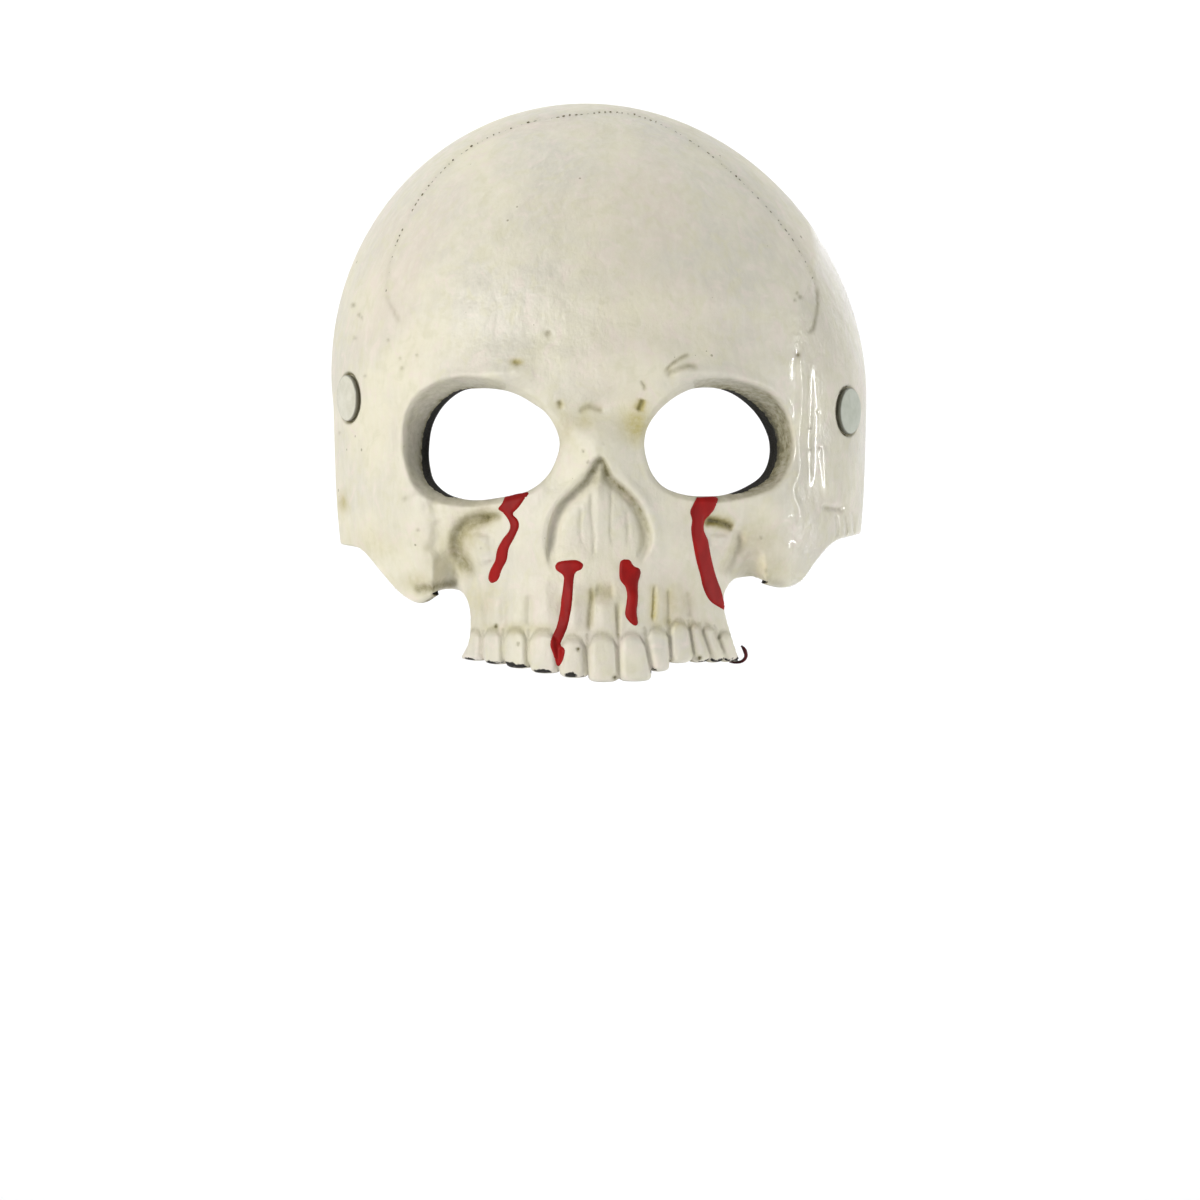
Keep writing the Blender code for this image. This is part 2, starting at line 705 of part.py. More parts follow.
def make_rivet(side, collection, material):
    """The rivet: a domed head in its seat and a shank through the shell and the strap."""
    name = "rivet_left" if side == LEFT else "rivet_right"
    foot = -(strap_depth() + 0.5 * STRAP_THICK + GAP)
    base = -RIVET_SEAT + GAP
    rim = base + RIVET_HEAD_THICK
    profile = [
        (0.0, rim + RIVET_CROWN),
        (0.3 * RIVET_HEAD, rim + 0.6 * RIVET_CROWN),
        (0.5 * RIVET_HEAD - RIVET_CROWN, rim),
        (0.5 * RIVET_HEAD, rim - RIVET_CROWN),
        (0.5 * RIVET_HEAD, base),
        (0.5 * RIVET_SHANK, base),
        (0.5 * RIVET_SHANK, foot),
        (0.0, foot),
    ]
    mesh = bpy.data.meshes.new(name)
    edges = [(index, index + 1) for index in range(len(profile) - 1)]
    mesh.from_pydata([(x, 0.0, z) for x, z in profile], edges, [])
    obj = bpy.data.objects.new(name, mesh)
    obj.matrix_world = rivet_place(side)
    collection.objects.link(obj)
    mesh.materials.append(material)
    turned = obj.modifiers.new("turned", "SCREW")
    turned.axis = "Z"
    turned.steps = 20
    turned.render_steps = 20
    turned.use_merge_vertices = True
    turned.merge_threshold = 0.00001
    turned.use_smooth_shade = True
    return obj


def make_rivet_cap(side, collection, material):
    """The inner cap that closes the rivet behind the strap."""
    name = "rivet_cap_left" if side == LEFT else "rivet_cap_right"
    top = -(strap_depth() + 0.5 * STRAP_THICK + 2 * GAP)
    return make_cylinder(name, RIVET_CAP, top - RIVET_CAP_THICK, top, rivet_place(side), collection, material, 24)


def strap_side(side):
    """Stations of the strap from its riveted end to the shell's back edge: middle, outward direction and up."""
    place = rivet_pattern(side)[0]
    depth = strap_depth()
    stations = []
    for ahead in np.linspace(-STRAP_END, STRAP_ON_WALL, 6):
        pattern = (place + np.array([side * ahead, 0.0]))[None]
        normal = outward_normal(pattern)[0]
        stations.append((surface(pattern, False)[0] - depth * normal, normal))
    return stations


def make_strap(collection, material):
    """The elastic strap: from one rivet back along the wall, round behind the head and to the other rivet."""
    left = strap_side(LEFT)
    right = strap_side(RIGHT)
    middles = [Vector(place) for place, _ in left]
    start = min(middles[-1].y, right[-1][0][1])
    level = 0.5 * (left[-1][0][2] + right[-1][0][2])
    for side, rows in ((LEFT, STRAP_ROWS), (RIGHT, STRAP_ROWS[::-1])):
        for back, out, rise in rows:
            reach = start + back * (HEAD_REAR - start)
            middles.append(Vector((side * out * HEAD_HALF_WIDTH, reach, level + rise * STRAP_RISE)))
        if side == LEFT:
            middles.append(Vector((0.0, HEAD_REAR, level + STRAP_RISE)))
    middles += [Vector(place) for place, _ in reversed(right)]
    line = smooth_line([tuple(middle) for middle in middles], STRAP_STEP)
    steps = len(line)
    verts = []
    for index, middle in enumerate(line):
        run = line[min(index + 1, steps - 1)] - line[max(index - 1, 0)]
        run = Vector(run).normalized()
        out = run.cross(Vector((0.0, 0.0, 1.0))).normalized()
        if out.dot(Vector((middle[0], middle[1], 0.0))) < 0:
            out = -out
        up = out.cross(run).normalized()
        if up.z < 0:
            up = -up
        for side_out, side_up in ((1, 1), (1, -1), (-1, -1), (-1, 1)):
            offset = out * (0.5 * STRAP_THICK * side_out) + up * (0.5 * STRAP_WIDTH * side_up)
            verts.append(Vector(middle) + offset)
    faces = [(0, 1, 2, 3), tuple(4 * (steps - 1) + corner for corner in (3, 2, 1, 0))]
    for index in range(steps - 1):
        for corner in range(4):
            after = (corner + 1) % 4
            faces.append((4 * index + corner, 4 * index + after, 4 * index + 4 + after, 4 * index + 4 + corner))
    return new_object("head_strap", verts, faces, collection, material)


def main():
    for obj in list(bpy.data.objects):
        bpy.data.objects.remove(obj, do_unlink=True)
    mask = bpy.data.collections.new("skull_mask")
    cutters = bpy.data.collections.new("cutters")
    cutters.hide_render = True
    bpy.context.scene.collection.children.link(mask)
    bpy.context.scene.collection.children.link(cutters)

    bone = make_material("bone_painted_foam", (0.72, 0.69, 0.55), 0.6)
    disc = make_material("painted_rivet", (0.68, 0.67, 0.55), 0.5)
    cap = make_material("dark_cap", (0.03, 0.03, 0.03), 0.45)
    elastic = make_material("black_elastic", (0.02, 0.02, 0.02), 0.85)

    shell = make_shell(mask, bone)
    strap = make_strap(mask, elastic)
    for side, word in ((LEFT, "left"), (RIGHT, "right")):
        frame = rivet_place(side)
        width = RIVET_HEAD + 2 * SEAT_MARGIN
        foot = -(strap_depth() + STRAP_THICK + CUT_INSIDE)
        seat = make_cylinder("seat_" + word, width, -RIVET_SEAT, CUT_OUTSIDE, frame, cutters, None)
        bore = make_cylinder("bore_" + word, RIVET_SHANK + 2 * GAP, foot, CUT_OUTSIDE, frame, cutters, None)
        cut(shell, seat)
        cut(shell, bore)
        cut(strap, bore)
        make_rivet(side, mask, disc)
        make_rivet_cap(side, mask, cap)


main()
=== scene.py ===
"""Looks of the half-face skull mask: painted foam shell, red paint runs, temple rivets and strap."""

import logging
import math
from dataclasses import dataclass, field
from enum import Enum
from functools import partial
from typing import Callable, NamedTuple, Sequence

import bmesh
import bpy
import numpy as np
from mathutils import Matrix, Vector
from mathutils.geometry import delaunay_2d_cdt

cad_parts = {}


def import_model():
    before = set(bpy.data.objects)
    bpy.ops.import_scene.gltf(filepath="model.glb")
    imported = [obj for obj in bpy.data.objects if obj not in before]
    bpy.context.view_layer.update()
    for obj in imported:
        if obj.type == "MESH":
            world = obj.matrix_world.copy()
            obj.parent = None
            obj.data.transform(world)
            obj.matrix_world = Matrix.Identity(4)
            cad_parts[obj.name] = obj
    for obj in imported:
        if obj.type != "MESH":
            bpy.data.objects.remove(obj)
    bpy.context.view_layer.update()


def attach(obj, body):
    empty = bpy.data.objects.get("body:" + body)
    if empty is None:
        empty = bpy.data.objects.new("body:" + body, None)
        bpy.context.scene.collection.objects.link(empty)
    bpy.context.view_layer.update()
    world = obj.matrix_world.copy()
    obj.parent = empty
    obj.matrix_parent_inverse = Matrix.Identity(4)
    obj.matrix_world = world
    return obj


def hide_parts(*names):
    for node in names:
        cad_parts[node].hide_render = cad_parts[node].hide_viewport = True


logging.basicConfig(level=logging.INFO, format="%(message)s")
LOG = logging.getLogger("skull_mask")

MM = 0.001
Points = np.ndarray
Path = Sequence[tuple[float, float]]
Socket = bpy.types.NodeSocket
Material = bpy.types.Material
Piece = bpy.types.Object
QUARTER_TURN = tuple(np.linspace(0.0, 0.5 * math.pi, 6))


class Side(Enum):
    """The two sides of the mask, as someone facing it sees them."""

    LEFT = -1
    RIGHT = 1


class Slot(Enum):
    """Material slots of the record."""

    BONE = "bone_painted_foam"
    RED = "red_paint"
    RIVET = "painted_rivet"
    CAP = "dark_cap"
    ELASTIC = "black_elastic"


def smooth_step(low: float, high: float, value: Points) -> Points:
    """0 below low, 1 above high, and a smooth rise between."""
    share = np.clip((value - low) / (high - low), 0.0, 1.0)
    return share * share * (3.0 - 2.0 * share)


def bell(distance: Points, width: float) -> Points:
    """1 at distance 0, falling smoothly to nothing at about twice the width."""
    return np.exp(-((distance / width) ** 2))


def led(before: Points, here: Points, after: Points, last: Points, part: Points | float) -> Points:
    """A smooth way from here to after, led by the points before and last.

    Args:
        before: The point before.
        here: Where the way starts.
        after: Where it ends.
        last: The point beyond.
        part: How far along, from 0 to 1.

    Returns:
        The place on the way.
    """
    bend = 2 * before - 5 * here + 4 * after - last
    twist = 3 * (here - after) + last - before
    return here + 0.5 * part * (after - before + part * (bend + part * twist))


def turning_table(values: Sequence[float]) -> Callable[[Points], Points]:
    """A smooth function of an angle through values that are spread evenly once round.

    Args:
        values: The values once round.

    Returns:
        The function.
    """
    rows = np.array(values)
    count = len(rows)

    def at(angle: Points) -> Points:
        """The table's value at each angle."""
        place = np.mod(angle, 2 * math.pi) / (2 * math.pi) * count
        first = np.floor(place).astype(int)
        return led(*(rows[(first + step) % count] for step in (-1, 0, 1, 2)), place - first)

    return at


def smooth_line(points: Path | Points, step: float) -> Points:
    """Points about one step apart on a smooth curve through the given ones.

    Args:
        points: The points that it goes through.
        step: About how far apart its points lie.

    Returns:
        The line's points.
    """
    given = np.array(points, float)
    ends = [2 * given[0] - given[1], *given, 2 * given[-1] - given[-2]]
    line = []
    for before, here, after, last in zip(ends, ends[1:], ends[2:], ends[3:]):
        count = max(1, round(float(np.linalg.norm(after - here)) / step))
        line += [led(before, here, after, last, part) for part in np.arange(count) / count]
    return np.array([*line, given[-1]])


def distance_to_line(points: Points, line: Points) -> tuple[Points, Points]:
    """How near points lie to a polyline.

    Args:
        points: Flat points.
        line: The polyline's corners.

    Returns:
        Each point's distance, and how far along the line its nearest place is, from 0 to 1.
    """
    nearest = np.full(len(points), np.inf)
    along = np.zeros(len(points))
    for index, (start, end) in enumerate(zip(line, line[1:])):
        run = end - start
        share = np.clip((points - start) @ run / max(run @ run, 1e-12), 0.0, 1.0)
        away = np.linalg.norm(points - start - share[:, None] * run, axis=1)
        closer = away < nearest
        nearest[closer] = away[closer]
        along[closer] = (index + share[closer]) / (len(line) - 1)
    return nearest, along


def inside(points: Points, ring: Points) -> Points:
    """Which flat points lie inside a closed ring.

    Args:
        points: Flat points.
        ring: The ring's corners.

    Returns:
        True for each point inside.
    """
    found = np.zeros(len(points), bool)
    for start, end in zip(ring, np.roll(ring, -1, axis=0)):
        crosses = (start[1] > points[:, 1]) != (end[1] > points[:, 1])
        rise = end[1] - start[1]
        slope = (end[0] - start[0]) / (rise if rise else 1e-12)
        found ^= crosses & (points[:, 0] < start[0] + (points[:, 1] - start[1]) * slope)
    return found


def closed(ring: Points) -> Points:
    """A ring's corners with the first one again at the end."""
    return np.concatenate([ring, ring[:1]])


def unit(vectors: Points) -> Points:
    """Vectors brought to length 1, row by row."""
    return vectors / np.maximum(np.linalg.norm(vectors, axis=1), 1e-12)[:, None]


@dataclass(frozen=True)
class FrontDrawing:
    """The front drawing that places every feature: in perspective, from a point straight ahead."""

    distance: float = 1.42
    depth: float = 0.080
    height: float = -0.064

    @property
    def eye(self) -> Points:
        """The point that the drawing is seen from."""
        return np.array([0.0, -self.depth - self.distance, self.height])

    def view(self, points: Points) -> Points:
        """Where points show in the drawing, across and up."""
        scale = self.distance / (points[:, 1] + self.depth + self.distance)
        return np.stack([points[:, 0] * scale, self.height + (points[:, 2] - self.height) * scale], axis=1)


@dataclass(frozen=True)
class Dome:
    """The half ellipsoid that the shell is drawn on, and its flat pattern round the middle of the brow."""

    drawing: FrontDrawing
    half_width: float = 0.092
    reach: float = 0.088
    height: float = 0.1017
    face_drop: float = 0.200
    setback: float = 0.015
    lean: float = 0.0048
    edge_at_temple: float = 0.040
    edge_at_crown: float = 0.017
    pattern_radius: float = 0.095

    def point(self, pattern: Points) -> Points:
        """The dome's surface at points of the flat pattern.

        Args:
            pattern: Points of the pattern.

        Returns:
            The points in space.
        """
        radius = np.maximum(np.linalg.norm(pattern, axis=1), 1e-9)
        turn = radius / self.pattern_radius
        across, up = (np.sin(turn) * pattern[:, axis] / radius for axis in (0, 1))
        ahead = np.cos(turn)
        height = np.where(up > 0, self.height, self.face_drop)
        size = 1 / np.sqrt((across / self.half_width) ** 2 + (ahead / self.reach) ** 2 + (up / height) ** 2)
        lean = self.lean * np.maximum(size * up, 0.0) / self.height
        return np.stack([size * across - lean, -self.setback - size * ahead, size * up], axis=1)

    def pattern_of(self, front: Points) -> Points:
        """The flat pattern's points under points of the front drawing.

        Args:
            front: Points of the drawing.

        Returns:
            The pattern's points.
        """
        front = np.atleast_2d(front)
        eye = self.drawing.eye
        far = np.full(len(front), self.drawing.distance)
        sight = np.stack([front[:, 0], far, front[:, 1] - self.drawing.height], axis=1)
        found = np.zeros((len(front), 3))
        for height, lean in ((self.face_drop, 0.0), (self.height, self.lean / self.height)):
            size = np.array([self.half_width, self.reach, height])
            start = np.array([eye[0] + lean * eye[2], eye[1] + self.setback, eye[2]]) / size
            way = np.stack([sight[:, 0] + lean * sight[:, 2], sight[:, 1], sight[:, 2]], axis=1) / size
            square = (way * way).sum(axis=1)
            half = way @ start
            gone = (-half - np.sqrt(np.maximum(half * half - square * (start @ start - 1), 0.0))) / square
            place = (start + gone[:, None] * way) * size
            fits = (place[:, 2] > 0) == (lean > 0)
            found[fits] = place[fits]
        side = np.maximum(np.hypot(found[:, 0], found[:, 2]), 1e-9)
        turn = np.arctan2(side, -found[:, 1])
        return found[:, [0, 2]] * (turn * self.pattern_radius / side)[:, None]

    def outward(self, dome: Points) -> Points:
        """The dome's outward direction at points on it.

        Args:
            dome: Points on the dome.

        Returns:
            Directions of length 1.
        """
        height = np.where(dome[:, 2] > 0, self.height, self.face_drop)
        wide, deep = (np.full(len(dome), reach) for reach in (self.half_width, self.reach))
        size = np.stack([wide, deep, height], axis=1)
        return unit((dome + np.array([0.0, self.setback, 0.0])) / size**2)

    def back_edge(self, angle: float) -> Points:
        """The pattern point of the shell's back edge in one direction, found by halving.

        Args:
            angle: The direction in the pattern.

        Returns:
            The pattern point.
        """
        way = np.array([math.cos(angle), math.sin(angle)])
        near, far = 0.3 * self.pattern_radius, 0.5 * math.pi * self.pattern_radius
        for _ in range(40):
            middle = 0.5 * (near + far)
            place = self.point((middle * way)[None])[0]
            share = min(max(place[2] / self.height, 0.0), 1.0)
            ahead = self.edge_at_temple + (self.edge_at_crown - self.edge_at_temple) * share
            near, far = (middle, far) if -place[1] > ahead else (near, middle)
        return near * way

    def corner_angle(self, side: Side, up: float) -> float:
        """The pattern direction in which the back edge comes down to a height below the middle.

        Args:
            side: The corner's side.
            up: The height as a share of the dome's.

        Returns:
            The direction's angle.
        """
        level, steep = 0.0, -0.45 * math.pi
        for _ in range(40):
            middle = 0.5 * (level + steep)
            lower = self.point(self.back_edge(middle)[None])[0][2] <= up * self.height
            level, steep = (level, middle) if lower else (middle, steep)
        return level if side is Side.RIGHT else math.pi - level


class SoftForm(NamedTuple):
    """A soft mound or hollow of the face: places and reaches in shares of the dome, turn in degrees."""

    across: float
    up: float
    reach_across: float
    reach_up: float
    turn: float
    lift: float

    def lifted(self, front: Points, dome: Dome) -> Points:
        """How far it lifts the dome at points of the front drawing.

        Args:
            front: Points of the drawing.
            dome: The dome that the shares are of.

        Returns:
            The lift at each point.
        """
        away = front - np.array([self.across * dome.half_width, self.up * dome.height])
        angle = math.radians(self.turn)
        along = away[:, 0] * math.cos(angle) + away[:, 1] * math.sin(angle)
        over = away[:, 1] * math.cos(angle) - away[:, 0] * math.sin(angle)
        reach_across, reach_up = self.reach_across * dome.half_width, self.reach_up * dome.height
        spread = (along / reach_across) ** 2 + (over / reach_up) ** 2
        return self.lift * dome.reach * np.exp(-spread)


SOFT_FORMS = (
    # across, up, reach_across, reach_up, turn, lift
    SoftForm(-0.400, 0.095, 0.300, 0.085, 6.0, 0.036),
    SoftForm(0.400, 0.100, 0.290, 0.085, -8.0, 0.034),
    SoftForm(0.000, 0.100, 0.160, 0.100, 0.0, 0.012),
    SoftForm(-0.230, 0.200, 0.200, 0.085, 8.0, -0.022),
    SoftForm(0.380, 0.215, 0.200, 0.080, -6.0, -0.020),
    SoftForm(0.000, -0.030, 0.120, 0.060, 0.0, -0.050),
    SoftForm(0.000, -0.150, 0.090, 0.100, 0.0, 0.048),
    SoftForm(-0.390, -0.150, 0.330, 0.240, 0.0, -0.080),
    SoftForm(0.390, -0.150, 0.330, 0.240, 0.0, -0.080),
    SoftForm(-0.440, -0.460, 0.150, 0.120, 20.0, -0.050),
    SoftForm(0.450, -0.460, 0.150, 0.120, -20.0, -0.050),
    SoftForm(-0.640, -0.330, 0.170, 0.150, 0.0, 0.034),
    SoftForm(0.680, -0.330, 0.160, 0.150, 0.0, 0.030),
    SoftForm(-0.620, -0.620, 0.160, 0.140, 0.0, -0.050),
    SoftForm(0.640, -0.600, 0.160, 0.140, 0.0, -0.050),
    SoftForm(0.020, -0.610, 0.170, 0.060, 0.0, -0.020),
)


@dataclass(frozen=True)
class EyeSocket:
    """An eye hole and the funnel round it. The tables go once round from the temple side over the brow."""

    side: Side
    hole: tuple[float, ...]
    paint: tuple[float, ...]
    across: float = 0.0339
    up: float = -0.0138
    radius: float = 0.0195
    depth: float = 0.020
    slope: float = 0.0095
    # stained: how much wash and painted shade lie on the funnel's wall.
    stained: float = 0.85
    slopes: tuple[float, ...] = (1.00, 1.12, 0.70, 0.42, 0.32, 0.24, 0.22, 0.22, 0.22, 0.28, 0.40, 0.80)
    depths: tuple[float, ...] = (1.00, 0.90, 0.60, 0.34, 0.15, 0.06, 0.05, 0.05, 0.08, 0.13, 0.25, 0.60)

    def polar(self, front: Points) -> tuple[Points, Points]:
        """Distance from the hole's middle, and the angle from its temple side over the brow."""
        away = front - np.array([self.side.value * self.across, self.up])
        return np.linalg.norm(away, axis=1), np.arctan2(away[:, 1], self.side.value * away[:, 0])

    def ring(self, count: int) -> Points:
        """The hole's edge in the front drawing.

        Args:
            count: How many points.

        Returns:
            The edge's points.
        """
        angles = np.linspace(0.0, 2 * math.pi, count)
        radius = turning_table(self.hole)(angles) * self.radius
        across = self.side.value * (self.across + radius * np.cos(angles))
        return np.stack([across, self.up + radius * np.sin(angles)], axis=1)

    def climb(self, front: Points) -> Points:
        """0 at the bottom of the funnel and 1 from its rim outwards, with a fairly sharp rim.

        Args:
            front: Points of the drawing.

        Returns:
            Each point's share.
        """
        radius, angle = self.polar(front)
        edge = turning_table(self.hole)(angle) * self.radius
        slope = turning_table(self.slopes)(angle) * self.slope
        share = np.clip((radius - edge) / slope, 0.0, 1.0)
        return 0.45 * smooth_step(0.0, 1.0, share) + 0.55 * np.minimum(share * 1.12, 1.0)

    def sink(self, front: Points) -> Points:
        """How far the funnel sinks, deepest at the temple side."""
        return turning_table(self.depths)(self.polar(front)[1]) * self.depth * (1 - self.climb(front))

    def wash(self, front: Points) -> Points:
        """How much dark wash and painted shade lie on the funnel's wall: more where the funnel is deeper,
        less on the nose side, and most beside the paint's edge.

        Args:
            front: Points of the drawing.

        Returns:
            Each point's share.
        """
        radius, angle = self.polar(front)
        edge = turning_table(self.paint)(angle) * self.radius
        wall = self.stained * smooth_step(0.02, 0.22, 1 - self.climb(front))
        low = wall + 0.55 * bell(radius - edge, 1.2 * MM)
        deep = np.sqrt(np.maximum(turning_table(self.depths)(angle), 0.0))
        return deep * low * (0.4 + 0.6 * (np.cos(angle) > -0.2))

    def unpainted(self, front: Points) -> Points:
        """How much of the lip inside the paint's edge is bare foam.

        Args:
            front: Points of the drawing.

        Returns:
            Each point's share.
        """
        radius, angle = self.polar(front)
        hole, paint = (turning_table(rows)(angle) * self.radius for rows in (self.hole, self.paint))
        lip = smooth_step(0.4 * MM, 1.2 * MM, paint - hole)
        return lip * (1 - smooth_step(-0.4 * MM, 0.5 * MM, radius - paint))


EYES = (
    EyeSocket(
        Side.LEFT,
        stained=0.48,
        hole=(1.055, 1.045, 1.03, 1.01, 0.982, 0.912, 0.872, 0.862, 0.87, 0.898, 0.972, 1.024)
        + (1.061, 1.039, 1.016, 0.976, 0.93, 0.887, 0.896, 0.956, 1.04, 1.125, 1.155, 1.105),
        paint=(1.176, 1.152, 1.122, 1.079, 1.027, 0.945, 0.891, 0.867, 0.87, 0.898, 0.972, 1.024)
        + (1.061, 1.039, 1.016, 0.976, 0.93, 0.887, 0.896, 0.966, 1.07, 1.19, 1.27, 1.22),
    ),
    EyeSocket(
        Side.RIGHT,
        hole=(1.035, 0.985, 0.945, 0.915, 0.905, 0.900, 0.895, 0.900, 0.893, 0.904, 0.937, 0.981)
        + (0.998, 0.996, 1.003, 0.988, 0.93, 0.883, 0.862, 0.880, 0.915, 0.970, 1.045, 1.060),
        paint=(1.157, 1.112, 1.053, 1.0, 0.966, 0.94, 0.92, 0.908, 0.893, 0.904, 0.937, 0.981)
        + (0.998, 0.996, 1.003, 0.988, 0.93, 0.883, 0.862, 0.891, 0.968, 1.053, 1.162, 1.185),
    ),
)


@dataclass(frozen=True)
class NoseOpening:
    """The pear-shaped groove of the nose and the sunk plug in it, in millimetres of the front drawing."""

    rim: Path = (
        (-14.1, -55.7), (-15.7, -52.2), (-16.3, -48.0), (-16.0, -43.2), (-15.0, -38.4), (-12.8, -33.6),
        (-9.6, -30.4), (-4.8, -25.6), (0.0, -18.9), (3.8, -25.0), (8.0, -28.8), (12.2, -33.6),
        (14.4, -38.4), (15.7, -43.2), (15.4, -47.4), (13.8, -50.6), (10.9, -54.4),
    )
    depth: float = 2.8 * MM
    left_width: float = 2.7 * MM
    right_width: float = 1.9 * MM
    outer_width: float = 0.8 * MM
    plug_sink: float = 2.0 * MM

    def shape(self, front: Points) -> tuple[Points, Points]:
        """The lift of the groove and the plug, and the wash and painted shade that lie in the groove.

        Args:
            front: Points of the drawing.

        Returns:
            Each point's lift, and its wash and painted shade.
        """
        line = smooth_line(self.rim, 1.5) * MM
        away, along = distance_to_line(front, line)
        fade = smooth_step(0.0, 0.14, along) * smooth_step(0.0, 0.12, 1 - along)
        within = inside(front, line)
        width = np.where(front[:, 0] < 0, self.left_width, self.right_width)
        groove = fade * bell(away, np.where(within, width, self.outer_width))
        open_below = smooth_step(-0.056, -0.044, front[:, 1])
        plug = within * smooth_step(0.0, 1.0, away / width) * open_below
        ridge = bell(front[:, 0] + 0.3 * MM, 1.5 * MM) * plug * smooth_step(-0.054, -0.034, front[:, 1])
        # Wash and painted shade in the groove, darker towards its top.
        left = 0.12 + 0.72 * smooth_step(-0.040, -0.021, front[:, 1])
        right = 0.28 + 0.66 * smooth_step(-0.050, -0.028, front[:, 1])
        wash = groove * np.where(front[:, 0] < 0, left, right) * np.where(within, 1.0, 0.7)
        return -self.depth * groove - self.plug_sink * plug + 0.7 * MM * ridge, wash


class Tooth(NamedTuple):
    """A tooth in millimetres of the front drawing: its far side and height at the gum and at the foot."""

    gum_side: float
    foot_side: float
    gum: float
    foot: float


@dataclass(frozen=True)
class ToothRow:
    """The upper teeth, cast in one with the jaw."""

    first_gum_side: float = -42.9
    first_foot_side: float = -45.4
    raise_by: float = 2.1 * MM
    groove: float = 0.9 * MM
    round_over: float = 2.3 * MM
    narrow_at_gum: float = 0.12
    teeth: tuple[Tooth, ...] = (
        Tooth(-37.4, -38.1, -74.2, -83.1), Tooth(-31.0, -31.0, -73.9, -84.3),
        Tooth(-23.0, -23.0, -73.6, -85.6), Tooth(-13.1, -13.4, -74.2, -87.2),
        Tooth(-4.2, -3.8, -76.2, -88.6), Tooth(5.8, 6.3, -75.5, -90.0),
        Tooth(14.4, 17.0, -75.2, -89.8), Tooth(22.1, 22.9, -73.3, -86.6),
        Tooth(28.3, 30.4, -71.0, -83.9), Tooth(32.0, 36.0, -71.7, -83.7),
        Tooth(36.8, 40.7, -72.6, -83.7), Tooth(42.6, 45.4, -74.6, -83.5),
    )

    def shape(self, front: Points) -> tuple[Points, Points]:
        """The lift of crowns and grooves, and the wash and painted shade in the grooves and along the gum.

        Args:
            front: Points of the drawing.

        Returns:
            Each point's lift, and its wash and painted shade.
        """
        lift = np.zeros(len(front))
        wash = np.zeros(len(front))
        gum_side, foot_side = self.first_gum_side, self.first_foot_side
        for tooth in self.teeth:
            height = (tooth.gum - tooth.foot) * MM
            up = np.clip((front[:, 1] - tooth.foot * MM) / height, -0.2, 1.5)
            low = (foot_side + (gum_side - foot_side) * up) * MM
            high = (tooth.foot_side + (tooth.gum_side - tooth.foot_side) * up) * MM
            middle = 0.5 * (low + high)
            whole = 0.5 * (high - low)
            half = whole * (1 - self.narrow_at_gum * np.clip(up, 0.0, 1.0) ** 2)
            share = (front[:, 0] - middle) / half
            to_side = (1 - np.abs(share)) * half
            to_gum = (1.02 - 0.10 * share**2 - 0.22 * share**4 - up) * height
            edge = np.minimum(to_side, to_gum)
            crown = np.sqrt(smooth_step(0.0, self.round_over, edge)) * (1 - 0.22 * share * share)
            lift = np.maximum(lift, np.where(edge > 0, self.raise_by * crown, 0.0))
            line = whole - np.abs(front[:, 0] - middle)
            # Painted shade in the grooves between the teeth and in a band just above each crown, under the
            # gum.
            between = bell(line, 0.50 * MM) * (up < 1.05) * (0.55 + 0.45 * smooth_step(0.1, 0.8, up))
            gum = bell(to_gum + 0.45 * MM, 0.75 * MM) * (np.abs(share) < 1.05)
            lift -= self.groove * np.maximum(0.6 * between, 0.7 * gum)
            wash = np.maximum(wash, np.maximum(0.42 * between, 0.40 * gum))
            gum_side, foot_side = tooth.gum_side, tooth.foot_side
        return lift, wash

    def feet(self) -> Points:
        """The lower edge of the row in the front drawing, with a small notch between each two teeth.

        Returns:
            The edge's points.
        """
        line = []
        start = self.first_foot_side
        for tooth in self.teeth:
            width = tooth.foot_side - start
            line += [(start + 0.02 * width, tooth.foot + 0.9), (start + 0.16 * width, tooth.foot + 0.15)]
            line += [(start + 0.50 * width, tooth.foot - 0.1), (start + 0.84 * width, tooth.foot + 0.15)]
            line += [(start + 0.98 * width, tooth.foot + 0.9)]
            start = tooth.foot_side
        return np.array(line[1:-1]) * MM


@dataclass(frozen=True)
class Mark:
    """A groove or a ridge along a line of the front drawing, in millimetres, and the wash and painted shade
    laid in it.
    """

    path: Path
    width: float
    lift: float
    wash: float = 0.0
    yellow: float = 0.0
    fade: float = 0.2
